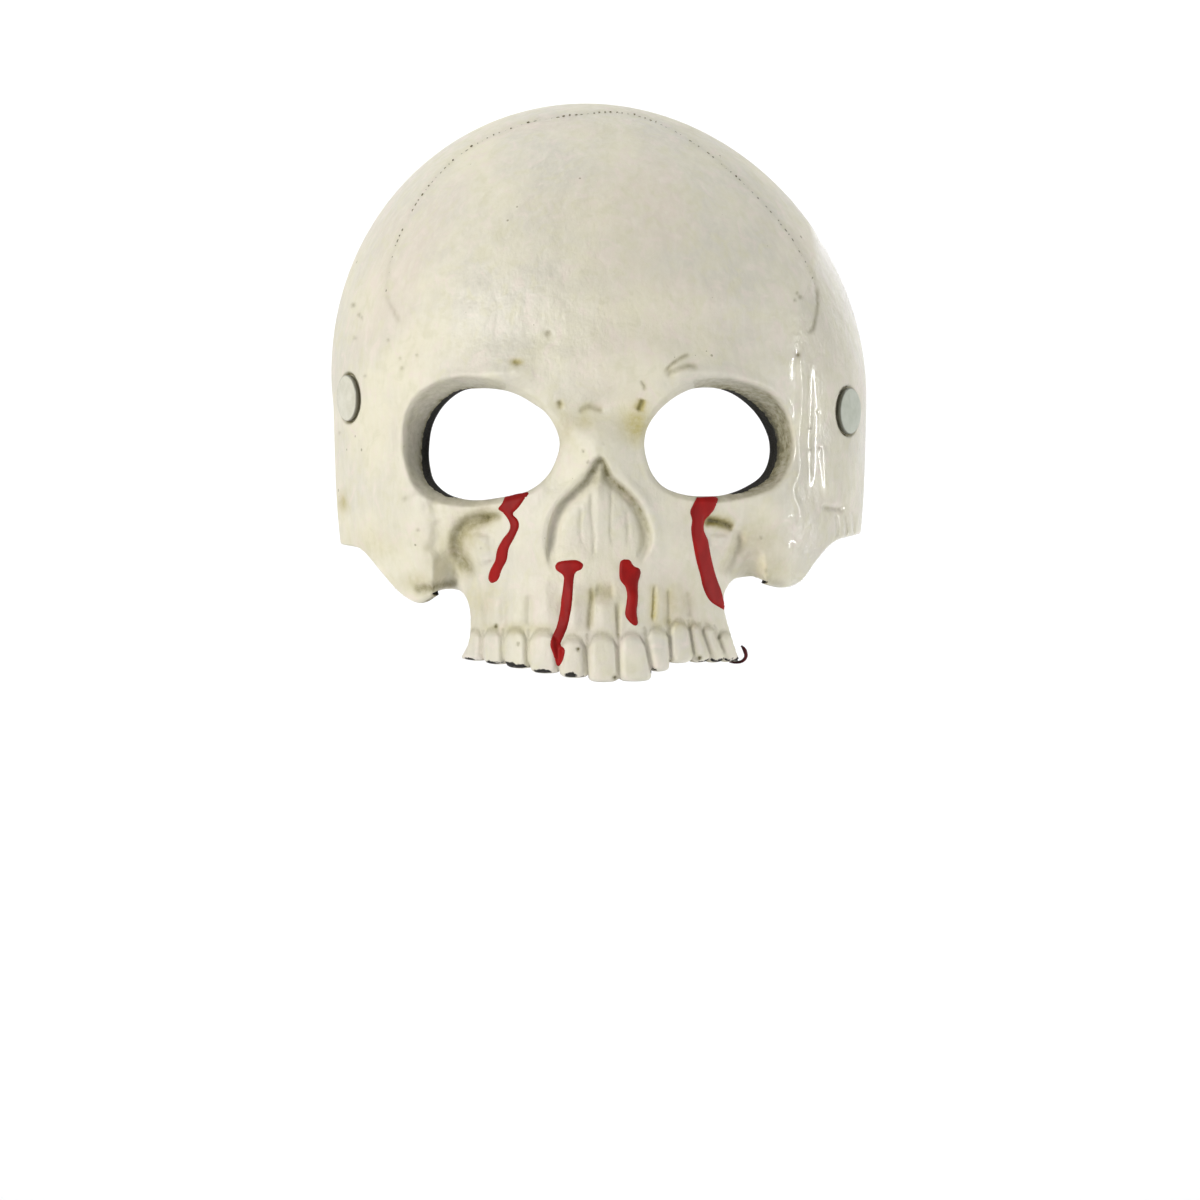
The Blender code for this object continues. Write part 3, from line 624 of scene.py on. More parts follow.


# Each mark's wash darkens its groove with olive wash and painted shade. Along the cheeks' lower edges it is
# mostly painted shade, where the surface turns under.
MARKS = {
    "left_fossa": Mark(((-30.5, -36.2), (-34.0, -36.9), (-38.4, -38.0), (-43.0, -39.8), (-45.4, -43.2),
         (-45.8, -46.4), (-44.2, -51.2), (-41.6, -54.4), (-39.0, -57.6)), 2.1, -2.8, 0.72, 0.26, 0.22),
    "left_fossa_rim": Mark(((-30.5, -36.6), (-34.6, -37.4), (-38.6, -38.6)), 1.0, -1.2, 0.55, 0.2, 0.3),
    "right_fossa_slot": Mark(((32.4, -38.6), (35.8, -38.6), (39.7, -39.6),
         (43.2, -41.2)), 1.2, -2.0, 0.95, 0.5, 0.15),
    "right_fossa": Mark(((42.9, -41.0), (44.6, -44.8), (42.8, -48.6), (40.4, -53.1),
         (39.0, -57.0)), 1.9, -1.9, 0.26, 0.1, 0.2),
    "left_cheek_groove": Mark(((-52.5, -37.8), (-51.8, -41.6), (-52.2, -45.4),
         (-54.4, -49.6)), 2.2, -1.5, 0.12),
    "left_arch_root": Mark(((-57.0, -36.0), (-54.5, -33.0), (-51.0, -31.8)), 1.4, -0.5, 0.10),
    "brow_crease_upper": Mark(((20.2, 8.3), (22.4, 10.9), (25.6, 13.4),
         (29.4, 15.0)), 0.55, -0.6, 0.55, 0.1),
    "brow_crease_lower": Mark(((20.5, 7.4), (24.3, 9.6), (28.2, 10.9), (32.0, 10.2)), 0.9, -0.7, 0.42, 0.1),
    "brow_crack": Mark(((12.8, 6.4), (14.1, 4.5), (14.4, 2.6)), 0.5, -0.5, 0.5, 0.1),
    "brow_slot": Mark(((13.8, 0.6), (13.1, -1.6), (12.2, -3.8)), 0.8, -1.1, 0.85, 0.9),
    "left_nose_slot": Mark(((-13.4, 0.2), (-12.6, -1.4), (-12.4, -3.2)), 0.7, -0.6, 0.3, 0.4),
    "nasion": Mark(((-7.0, -4.5), (-5.4, -2.9), (-3.2, -2.2), (-0.6, -2.9),
         (1.6, -3.8)), 0.8, -0.6, 0.40, 0.2),
    "nasal_side_left": Mark(((-9.5, -8.0), (-10.5, -16.0), (-14.0, -24.0),
         (-18.5, -31.0)), 2.4, -0.5, 0.04),
    "nasal_side_right": Mark(((9.0, -8.0), (10.5, -16.0), (13.5, -24.0), (18.0, -31.0)), 2.4, -0.5, 0.04),
    "plug_left": Mark(((-2.6, -27.5), (-2.9, -35.2), (-1.9, -44.8), (-2.6, -52.8)), 0.5, -0.45, 0.22),
    "plug_right": Mark(((3.2, -25.6), (3.5, -33.6), (3.2, -41.6), (4.2, -48.6)), 0.5, -0.40, 0.22),
    "plug_far_left": Mark(((-5.8, -33.6), (-6.4, -41.6), (-5.1, -48.0)), 0.45, -0.35, 0.16),
    "plug_far_right": Mark(((8.3, -33.6), (9.0, -41.6), (8.3, -47.4)), 0.5, -0.30, 0.14),
    "root_middle_left": Mark(((-2.9, -58.6), (-2.6, -64.0), (-3.2, -70.4),
         (-3.2, -74.9)), 0.8, -0.9, 0.45, 0.3),
    "root_middle_right": Mark(((5.8, -64.0), (5.8, -69.8), (5.8, -76.8)), 0.8, -0.8, 0.42, 0.2),
    "root_right": Mark(((17.4, -58.0), (17.2, -64.0), (16.6, -71.7)), 0.7, -0.9, 0.16, 0.45),
    "root_right_next": Mark(((21.4, -59.2), (21.6, -65.6), (21.1, -73.6)), 0.9, -0.7, 0.16, 0.1),
    "root_right_far": Mark(((27.4, -60.2), (28.6, -70.0)), 1.1, -0.7, 0.10),
    "root_left": Mark(((-12.8, -64.0), (-12.2, -72.0)), 0.9, -0.5, 0.10),
    "root_left_far": Mark(((-22.4, -61.4), (-22.7, -73.3)), 1.1, -0.9, 0.10),
    "root_left_end": Mark(((-31.0, -62.0), (-30.4, -73.3)), 1.1, -0.8, 0.08),
    "root_left_last": Mark(((-37.6, -64.0), (-37.0, -73.3)), 1.0, -0.6, 0.08),
    "root_ridge_left": Mark(((-8.0, -58.0), (-8.0, -66.0), (-8.4, -75.0)), 2.4, 1.0),
    "root_ridge_middle": Mark(((1.4, -64.0), (1.4, -70.0), (1.2, -75.0)), 2.4, 0.9),
    "root_ridge_right": Mark(((11.0, -60.0), (11.4, -68.0), (11.4, -75.0)), 2.4, 0.9),
    "root_ridge_far": Mark(((19.2, -59.0), (19.4, -66.0), (19.2, -74.0)), 1.5, 0.6),
    "root_ridge_next": Mark(((24.4, -58.0), (25.0, -66.0), (26.0, -73.0)), 2.0, 0.9),
    "root_ridge_canine": Mark(((-18.0, -56.0), (-17.6, -66.0), (-17.6, -75.0)), 2.6, 1.0),
    "root_ridge_second": Mark(((-26.6, -58.0), (-26.6, -66.0), (-26.6, -74.0)), 2.4, 0.8),
    "root_ridge_third": Mark(((-34.2, -60.0), (-34.0, -66.0), (-34.0, -74.0)), 2.2, 0.6),
    "middle_hollow": Mark(((-2.0, -60.6), (1.4, -61.0), (5.0, -60.6)), 2.2, -1.1, 0.12, 0.12),
    "brow_left": Mark(((-54.4, 1.6), (-49.6, 4.6), (-38.4, 7.2), (-25.6, 8.2),
         (-16.0, 6.6)), 3.2, 2.7, 0.0, 0.0, 0.3),
    "brow_right": Mark(((19.2, 5.0), (28.8, 8.6), (40.0, 8.0), (49.6, 4.8),
         (56.0, 0.6)), 3.2, 2.5, 0.0, 0.0, 0.3),
    "under_eye_left": Mark(((-57.0, -27.0), (-51.0, -31.4), (-42.0, -32.6), (-32.0, -31.4)), 1.8, 1.0),
    "under_eye_right": Mark(((28.0, -31.0), (38.0, -31.6), (48.0, -30.0), (55.0, -26.0)), 1.8, 1.0),
    "nose_edge_left": Mark(((-18.6, -50.0), (-18.6, -43.0), (-16.6, -36.0), (-11.0, -28.6),
         (-4.6, -21.4)), 1.3, 0.8),
    "nose_edge_right": Mark(((4.2, -20.6), (9.6, -26.6), (15.6, -34.0), (18.0, -42.0),
         (17.4, -49.0)), 1.3, 0.8),
    "fossa_plateau_left": Mark(((-37.6, -42.4), (-37.8, -48.0), (-36.0, -53.0)), 2.8, 1.8),
    "fossa_plateau_right": Mark(((38.6, -43.0), (38.4, -48.0)), 2.6, 1.4),
    "cheek_bump_left": Mark(((-61.5, -30.0), (-58.0, -34.5), (-53.0, -34.0)), 4.0, 1.1),
    "cheek_bump_right": Mark(((52.0, -32.0), (57.0, -35.0), (60.0, -40.0)), 4.0, 0.9),
    "zygoma_left": Mark(((-61.0, -43.0), (-56.0, -52.0), (-50.0, -57.0)), 3.6, 1.2),
    "zygoma_right": Mark(((62.0, -45.0), (57.0, -52.0), (50.0, -54.0)), 3.6, 1.2),
    "temple_left": Mark(((-68.5, 35.2), (-67.8, 32.0), (-65.9, 28.2), (-63.4, 23.7)), 0.8, -0.4, 0.22),
    "temple_right": Mark(((68.8, 37.4), (69.4, 32.0), (68.8, 26.2), (67.5, 22.1),
         (64.6, 21.8)), 0.7, -0.7, 0.55),
    "flank_ridge_right": Mark(((66.5, 19.0), (64.3, 12.8), (64.8, 5.4), (64.5, -3.2), (63.7, -12.8),
         (63.9, -22.4), (61.8, -28.8), (63.7, -35.2), (64.6, -42.6)), 1.3, 1.1, 0.0, 0.0, 0.1),
    "flank_gutter_right": Mark(((68.6, 17.0), (67.0, 8.0), (67.2, -3.2), (66.6, -12.8), (66.8, -22.4),
         (66.0, -33.0)), 1.6, -0.6, 0.06, 0.0, 0.2),
    "orbit_rim_left": Mark(((-63.2, -23.0), (-64.2, -17.6), (-64.4, -12.8), (-64.0, -8.0), (-62.6, -3.2),
         (-59.3, 1.2), (-54.4, 4.2), (-48.6, 6.0)), 1.7, 1.1),
    "orbit_rim_right": Mark(((43.2, 7.6), (48.6, 6.4), (54.3, 3.6), (58.0, -0.8), (60.4, -6.0),
         (61.2, -11.5), (60.8, -16.6), (60.2, -21.8)), 1.7, 1.1),
    "flank_step": Mark(((70.4, -34.0), (74.0, -34.6), (78.6, -35.0)), 0.9, -1.8, 0.30),
    "flank_ledge": Mark(((71.6, -14.0), (72.2, -22.0), (72.8, -31.0)), 1.2, 0.7),
    "flute_first": Mark(((75.4, -36.0), (75.8, -40.0), (76.0, -44.0)), 0.6, -1.3, 0.25),
    "flute_second": Mark(((78.2, -36.0), (78.7, -40.0), (79.0, -44.0)), 0.5, -1.3, 0.25),
    "flute_third": Mark(((80.6, -35.0), (81.2, -40.0), (81.4, -44.0)), 0.4, -0.6, 0.15),
    # Painted shade along the cheeks' lower edges, where the surface rolls under.
    "left_cheek_edge": Mark(((-60.5, -60.5), (-56.0, -60.3), (-52.0, -59.6), (-48.0, -58.8),
         (-45.0, -59.4)), 1.5, -0.9, 0.72, 0.1, 0.15),
    "right_cheek_edge": Mark(((44.6, -56.4), (49.0, -56.2), (55.0, -58.0),
         (60.5, -59.3)), 1.2, -0.6, 0.30, 0.0, 0.2),
}

# Yellow stains and dark patches. The darkening of hollows, such as under the nose and on the right cheek, is
# painted shade.
STAINS_AND_SHADE = (
    # across, up, reach_across, reach_up, wash, yellow
    (11.5, -8.0, 4.5, 5.5, 0.10, 0.75), (-11.0, -9.0, 3.0, 6.0, 0.03, 0.30),
    (-26.6, 12.2, 2.0, 1.1, 0.22, 0.90), (17.2, -67.0, 0.9, 4.0, 0.03, 0.45),
    (1.6, -61.8, 5.2, 3.2, 0.18, 0.16), (-10.0, -64.5, 5.0, 3.0, 0.10, 0.15),
    (36.0, -39.0, 3.6, 1.3, 0.20, 0.75), (50.0, -45.0, 7.0, 6.0, 0.16, 0.16),
    (-41.0, -43.0, 3.2, 4.0, 0.14, 0.22), (-50.0, -51.0, 6.0, 5.0, 0.07, 0.18),
    (-82.2, -33.0, 1.6, 3.0, 0.15, 0.60), (-5.0, -7.0, 3.0, 2.5, 0.05, 0.35),
    (0.0, -26.5, 2.4, 3.0, 0.30, 0.05), (-59.2, -58.3, 5.0, 3.0, 0.12, 0.25),
    (-37.9, -65.0, 6.0, 6.0, 0.05, 0.22), (24.7, -65.0, 7.0, 7.0, 0.05, 0.26),
    (55.3, -54.3, 7.0, 4.0, 0.08, 0.26), (-25.9, -73.2, 13.0, 1.8, 0.08, 0.28),
    (26.0, -71.6, 11.0, 1.8, 0.06, 0.28), (-72.0, -46.0, 9.0, 5.0, 0.03, 0.16),
)

# Small pits, darkened inside with wash and painted shade.
PITS = (
    # across, up, radius, depth, wash
    (-79.0, 30.4, 0.8, 0.5, 0.7), (-77.1, 27.2, 0.7, 0.4, 0.5), (-76.2, 26.2, 0.5, 0.3, 0.5),
    (-78.4, 19.8, 0.7, 0.4, 0.4), (-67.8, 19.2, 0.6, 0.4, 0.5), (-64.0, 13.4, 0.6, 0.4, 0.4),
    (-63.4, 10.2, 0.7, 0.4, 0.4), (-58.6, 14.4, 0.5, 0.3, 0.5), (-75.2, 7.7, 0.6, 0.3, 0.4),
    (-83.5, -10.6, 0.6, 0.3, 0.4), (63.0, 34.2, 0.6, 0.4, 0.7), (64.0, 33.0, 0.7, 0.5, 0.8),
    (62.4, 32.0, 0.5, 0.3, 0.6), (63.4, 14.4, 0.8, 0.5, 0.9), (67.2, -9.0, 0.6, 0.4, 0.4),
    (69.8, -3.8, 0.6, 0.4, 0.5), (70.4, -15.4, 0.6, 0.4, 0.4), (67.2, -16.0, 0.5, 0.3, 0.4),
    (-16.6, 21.4, 1.0, 0.5, 0.8), (-26.6, 11.8, 1.2, 0.7, 0.35), (-12.8, -1.0, 0.8, 0.5, 0.4),
    (-5.4, -16.3, 0.5, 0.4, 0.8), (-3.8, -19.8, 0.5, 0.3, 0.7), (-62.4, -31.4, 0.9, 0.4, 0.3),
    (-58.2, -41.6, 0.6, 0.4, 0.5), (53.1, -54.7, 0.7, 0.4, 0.6), (51.5, -44.0, 0.5, 0.3, 0.5),
    (-33.3, -72.3, 0.6, 0.6, 1.6), (-26.2, -78.1, 0.5, 0.4, 1.2), (-7.0, -79.7, 0.6, 0.6, 1.5),
    (4.8, -89.0, 0.8, 0.6, 1.7), (32.0, -82.6, 0.7, 0.6, 1.6), (-10.0, -67.5, 0.5, 0.3, 0.4),
    (-38.0, -47.5, 0.4, 0.2, 0.4), (1.0, -14.0, 0.4, 0.2, 0.4), (30.5, -44.5, 0.4, 0.2, 0.5),
)

CHIPS = (
    # across, up, radius across, radius up
    (-43.0, -83.6, 3.0, 0.9), (-36.0, -84.4, 2.8, 0.9), (-30.0, -85.0, 2.4, 1.1), (-26.0, -85.6, 2.0, 0.9),
    (-19.0, -87.2, 3.0, 1.0), (-9.4, -88.2, 1.8, 1.1), (-5.5, -89.0, 1.2, 0.6), (17.5, -86.8, 1.2, 0.9),
    (35.5, -84.0, 2.4, 1.0), (40.5, -83.8, 2.8, 1.1), (44.5, -83.6, 1.6, 1.0), (25.5, -85.0, 2.0, 0.6),
)

SUTURE = (
    (-68.5, 35.2), (-66.4, 46.8), (-59.8, 61.5), (-49.8, 74.3), (-38.0, 83.0), (-22.4, 89.0), (-6.0, 91.6),
    (6.0, 92.2), (16.0, 89.9), (27.0, 84.4), (38.0, 76.4), (48.6, 66.8), (58.6, 55.6), (65.6, 44.6),
    (68.8, 37.4),
)

GLOSS_EDGE = (
    (67.0, 60.0), (69.0, 45.0), (64.0, 33.0), (61.0, 18.0), (61.2, 5.0), (60.6, -20.0), (60.0, -60.0),
)


class Touch(NamedTuple):
    """What each point of the outer surface carries: its lift, and the shares of the paint's marks and of the
    painted shade in hollows.
    """

    lift: Points
    wash: Points
    yellow: Points
    bare: Points


@dataclass(frozen=True)
class MaskForm:
    """The mask's outer and inner surfaces over the flat pattern."""

    dome: Dome
    eyes: tuple[EyeSocket, ...] = EYES
    nose: NoseOpening = NoseOpening()
    teeth: ToothRow = ToothRow()
    wall: float = 4.5 * MM
    jaw_half_width: float = 0.054
    jaw_reach: float = 0.062
    jaw_setback: float = 0.038
    jaw_top: float = -0.044
    jaw_blend: float = 0.018

    def soft_forms(self, front: Points) -> Points:
        """How far the broad mounds and hollows lift the dome."""
        return sum((form.lifted(front, self.dome) for form in SOFT_FORMS), np.zeros(len(front)))

    def touches(self, front: Points) -> Touch:
        """The fine relief, the marks of the paint and the painted shade in hollows at points of the front
        drawing.

        Args:
            front: Points of the drawing.

        Returns:
            What each point carries.
        """
        lift, wash = (a + b for a, b in zip(self.nose.shape(front), self.teeth.shape(front)))
        yellow = np.zeros(len(front))
        bare = np.full(len(front), -1.0)
        for mark in MARKS.values():
            away, along = distance_to_line(front, smooth_line(mark.path, 1.5) * MM)
            fade = smooth_step(0.0, mark.fade, along) * smooth_step(0.0, mark.fade, 1 - along)
            lift += mark.lift * MM * fade * bell(away, mark.width * MM)
            wash += mark.wash * fade * bell(away, 1.05 * mark.width * MM)
            yellow += mark.yellow * fade * bell(away, 1.9 * mark.width * MM)
        for across, up, radius, depth, dark in PITS:
            away = np.linalg.norm(front - np.array([across, up]) * MM, axis=1)
            lift -= depth * MM * bell(away, radius * MM)
            wash += dark * bell(away, 0.9 * radius * MM)
        for across, up, reach_across, reach_up, dark, tint in STAINS_AND_SHADE:
            away = np.hypot(front[:, 0] / MM - across, (front[:, 1] / MM - up) * reach_across / reach_up)
            wash += dark * bell(away, reach_across)
            yellow += tint * bell(away, reach_across)
        for across, up, reach_across, reach_up in CHIPS:
            away = np.hypot((front[:, 0] / MM - across) / reach_across, (front[:, 1] / MM - up) / reach_up)
            bare = np.maximum(bare, 1.30 - 0.70 * away)
        for eye in self.eyes:
            wash += eye.wash(front)
            bare = np.maximum(bare, 1.2 * eye.unpainted(front))
        return Touch(lift, wash, yellow, bare)

    def surface(self, pattern: Points, touch: Touch | None = None) -> Points:
        """The outer surface.

        Args:
            pattern: Points of the pattern.
            touch: The fine relief at those points, or nothing for the broad surface alone.

        Returns:
            The points in space.
        """
        dome = self.dome.point(pattern)
        front = self.dome.drawing.view(dome)
        soft = self.soft_forms(front)
        lift = soft - sum(eye.sink(front) for eye in self.eyes)
        below = 1 - smooth_step(self.jaw_top - self.jaw_blend, self.jaw_top, front[:, 1])
        side = np.abs(front[:, 0]) / self.jaw_half_width
        jaw = below * (1 - smooth_step(0.86, 1.0, side))
        arch = self.jaw_setback + self.jaw_reach * np.sqrt(1 - np.clip(side, 0.0, 0.97) ** 2)
        lift = lift * (1 - jaw) + (arch + dome[:, 1] + 0.4 * soft) * jaw
        if touch is not None:
            lift = lift + touch.lift
        sight = unit(self.dome.drawing.eye - dome)
        outward = self.dome.outward(dome)
        facing = smooth_step(0.10, 0.45, (outward * sight).sum(axis=1))[:, None]
        return dome + unit(sight * facing + outward * (1 - facing)) * lift[:, None]

    def normal(self, pattern: Points, step: float = 0.0008) -> Points:
        """The outward direction of the broad surface.

        Args:
            pattern: Points of the pattern.
            step: Half the distance that the slope is taken over.

        Returns:
            Directions of length 1.
        """
        east, north = np.array([step, 0.0]), np.array([0.0, step])
        across = self.surface(pattern + east) - self.surface(pattern - east)
        up = self.surface(pattern + north) - self.surface(pattern - north)
        return unit(np.cross(across, up))

    def inner(self, pattern: Points) -> Points:
        """The inner surface: the broad surface moved in by the wall."""
        return self.surface(pattern) - self.wall * self.normal(pattern)

    def front_of(self, pattern: Points) -> Points:
        """Where points of the flat pattern show in the front drawing."""
        return self.dome.drawing.view(self.dome.point(pattern))


@dataclass(frozen=True)
class RivetSeat:
    """The shallow round seat of a strap rivet at the temple."""

    form: MaskForm
    side: Side
    across: float
    up: float
    head: float = 15.0 * MM
    margin: float = 0.6 * MM
    depth: float = 0.9 * MM
    bore: float = 4.6 * MM

    @property
    def pattern(self) -> Points:
        """The rivet's point on the flat pattern."""
        dome = self.form.dome
        return dome.pattern_of(np.array([[self.across * dome.half_width, self.up * dome.height]]))

    def frame(self) -> Matrix:
        """The rivet's frame: its Z axis points outwards and its Y axis up, at the outer surface.

        Returns:
            The frame.
        """
        normal = Vector(self.form.normal(self.pattern)[0])
        up = Vector((0.0, 0.0, 1.0))
        up = (up - normal * up.dot(normal)).normalized()
        frame = Matrix((up.cross(normal), up, normal)).transposed().to_4x4()
        frame.translation = Vector(self.form.surface(self.pattern)[0])
        return frame

    def ring(self, radius: float, count: int) -> Points:
        """A circle round the rivet, as points of the flat pattern.

        Args:
            radius: The circle's radius.
            count: How many points.

        Returns:
            The circle's points.
        """
        step = 0.0005
        centre = self.pattern
        surface = self.form.surface
        ways = [surface(centre + way * step) - surface(centre - way * step) for way in np.eye(2)]
        slopes = np.array([way[0] for way in ways]).T / (2 * step)
        frame = np.array(self.frame().to_3x3())
        angles = np.arange(count) * 2 * math.pi / count
        circle = radius * (np.cos(angles)[:, None] * frame[:, 0] + np.sin(angles)[:, None] * frame[:, 1])
        return centre + circle @ np.linalg.pinv(slopes).T

    def distance(self, places: Points) -> Points:
        """How far points of the surface lie from the rivet's axis.

        Args:
            places: Points in space.

        Returns:
            Each point's distance.
        """
        frame = self.frame()
        away = places - np.array(frame.translation)
        axis = np.array(frame.col[2][:3])
        deep = away @ axis
        other_side = np.abs(deep) > 0.02
        return np.linalg.norm(away - deep[:, None] * axis, axis=1) + 10 * other_side


@dataclass
class FlatMesh:
    """Triangles over the flat pattern between closed rings, as fine as each place wants."""

    rings: list[Points]
    size: Callable[[Points], Points]
    finest: float
    coarsest: float
    growth: float = 1.25

    @classmethod
    def even(cls, rings: list[Points], size: float) -> "FlatMesh":
        """Triangles of one size between rings."""
        return cls(rings, lambda flat: np.full(len(flat), size), size, size)

    def filling(self) -> Points:
        """Points inside the first ring and outside the others, on staggered grids.

        Returns:
            The points.
        """
        low, high = self.rings[0].min(axis=0), self.rings[0].max(axis=0)
        kept = []
        step = self.finest
        while step < self.coarsest * self.growth:
            rows = np.arange(low[1], high[1], step * math.sqrt(0.75))
            columns = np.arange(low[0], high[0], step)
            across, up = np.meshgrid(columns, rows)
            across = across + 0.5 * step * (np.arange(len(rows)) % 2)[:, None]
            grid = np.stack([across.ravel(), up.ravel()], axis=1)
            wanted = np.clip(self.size(grid), self.finest, self.coarsest)
            grid = grid[(wanted >= step) & (wanted < step * self.growth)]
            grid = grid[inside(grid, self.rings[0])]
            for ring in self.rings:
                grid = grid[distance_to_line(grid, closed(ring))[0] > 0.55 * step]
            for ring in self.rings[1:]:
                grid = grid[~inside(grid, ring)]
            kept.append(grid)
            step *= self.growth
        return np.concatenate(kept)

    def triangles(self) -> tuple[Points, Points, list[tuple[int, int]]]:
        """Joins the rings and the filling to triangles.

        Returns:
            The points with the rings' first, the triangles, and the rings' edges.
        """
        everything = np.concatenate([*self.rings, self.filling()])
        edges = []
        first = 0
        for ring in self.rings:
            edges += [(first + index, first + (index + 1) % len(ring)) for index in range(len(ring))]
            first += len(ring)
        places = [Vector(point) for point in everything * 10]
        _, _, faces, origins, _, _ = delaunay_2d_cdt(places, edges, [], 0, 1e-9)
        number = np.array([origin[0] for origin in origins])
        faces = number[np.array([list(face) for face in faces])]
        middle = everything[faces].mean(axis=1)
        sides = everything[faces[:, 1:]] - everything[faces[:, :1]]
        area = np.abs(sides[:, 0, 0] * sides[:, 1, 1] - sides[:, 0, 1] * sides[:, 1, 0])
        kept = inside(middle, self.rings[0]) & (area > 1e-9)
        for ring in self.rings[1:]:
            kept &= ~inside(middle, ring)
        return everything, faces[kept], edges


def spaced(line: Points, size: Callable[[Points], Points]) -> Points:
    """Points along a line of the pattern, each about the wanted triangle side from the last.

    Args:
        line: The line's points.
        size: The wanted side at points of the pattern.

    Returns:
        The spaced points.
    """
    steps = np.linalg.norm(np.diff(line, axis=0), axis=1)
    travelled = np.concatenate([[0.0], np.cumsum(steps)])
    pace = np.concatenate([[0.0], np.cumsum(steps / size(0.5 * (line[1:] + line[:-1])))])
    wanted = np.interp(np.linspace(0.0, pace[-1], max(3, round(pace[-1])) + 1), pace, travelled)
    return np.stack([np.interp(wanted, travelled, line[:, axis]) for axis in (0, 1)], axis=1)


def linked(name: str, data: bpy.types.ID) -> Piece:
    """An object of some data, linked to the scene."""
    obj = bpy.data.objects.new(name, data)
    bpy.context.scene.collection.objects.link(obj)
    return obj


def lofted(sections: int, size: int) -> list[tuple[int, ...]]:
    """The faces between equal closed sections set one after another, with both ends closed.

    Args:
        sections: How many sections.
        size: How many points each has.

    Returns:
        The faces as point numbers.
    """
    faces = []
    for start in range(0, size * (sections - 1), size):
        for corner in range(size):
            after = (corner + 1) % size
            faces.append((start + corner, start + after, start + size + after, start + size + corner))
    last = size * (sections - 1)
    return [*faces, tuple(range(size)), tuple(last + corner for corner in reversed(range(size)))]


def new_piece(
    name: str, verts: Points | list[Vector], faces: Sequence[Sequence[int]], materials: list[Material]
) -> Piece:
    """A smooth mesh piece with outward faces, linked to the scene.

    Args:
        name: The piece's name.
        verts: Its points in space.
        faces: Its faces as point numbers.
        materials: Its material slots.

    Returns:
        The new object.
    """
    mesh = bpy.data.meshes.new(name)
    places = [tuple(map(float, vert)) for vert in verts]
    mesh.from_pydata(places, [], [tuple(map(int, face)) for face in faces])
    mesh.validate()
    bm = bmesh.new()
    bm.from_mesh(mesh)
    bmesh.ops.recalc_face_normals(bm, faces=bm.faces)
    bm.to_mesh(mesh)
    bm.free()
    for material in materials:
        mesh.materials.append(material)
    mesh.shade_smooth()
    return linked(name, mesh)


def mount(piece: Piece, slot: Slot, *nodes: str) -> None:
    """Fixes a piece to the mask, hides the nodes that it stands for and logs its faces.

    Args:
        piece: The piece.
        slot: Its material slot; not used.
        nodes: The nodes that it stands for.
    """
    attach(piece, "root")
    if nodes:
        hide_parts(*nodes)
    LOG.info("%s: %d faces", piece.name, len(piece.data.polygons))


def linear(colour: str) -> tuple[float, float, float, float]:
    """A colour of the screen, such as #ddd8c6, as linear light.

    Args:
        colour: The colour in hexadecimal.

    Returns:
        Red, green and blue as linear light, and 1.
    """
    parts = [int(colour[start : start + 2], 16) / 255 for start in (1, 3, 5)]
    return (*(part / 12.92 if part <= 0.04045 else ((part + 0.055) / 1.055) ** 2.4 for part in parts), 1.0)


def add_node(
    tree: bpy.types.NodeTree, kind: str, settings: dict | None = None, links: dict | None = None
) -> bpy.types.Node:
    """Adds a node to a tree.

    Args:
        tree: The tree.
        kind: The node's type name.
        settings: Values by the name of the node's property, or by socket.
        links: Outputs of other nodes by socket.

    Returns:
        The node.
    """
    node = tree.nodes.new(kind)
    for key, value in (settings or {}).items():
        if isinstance(key, str) and hasattr(node, key):
            setattr(node, key, value)
        else:
            node.inputs[key].default_value = value
    for key, source in (links or {}).items():
        tree.links.new(source, node.inputs[key])
    return node


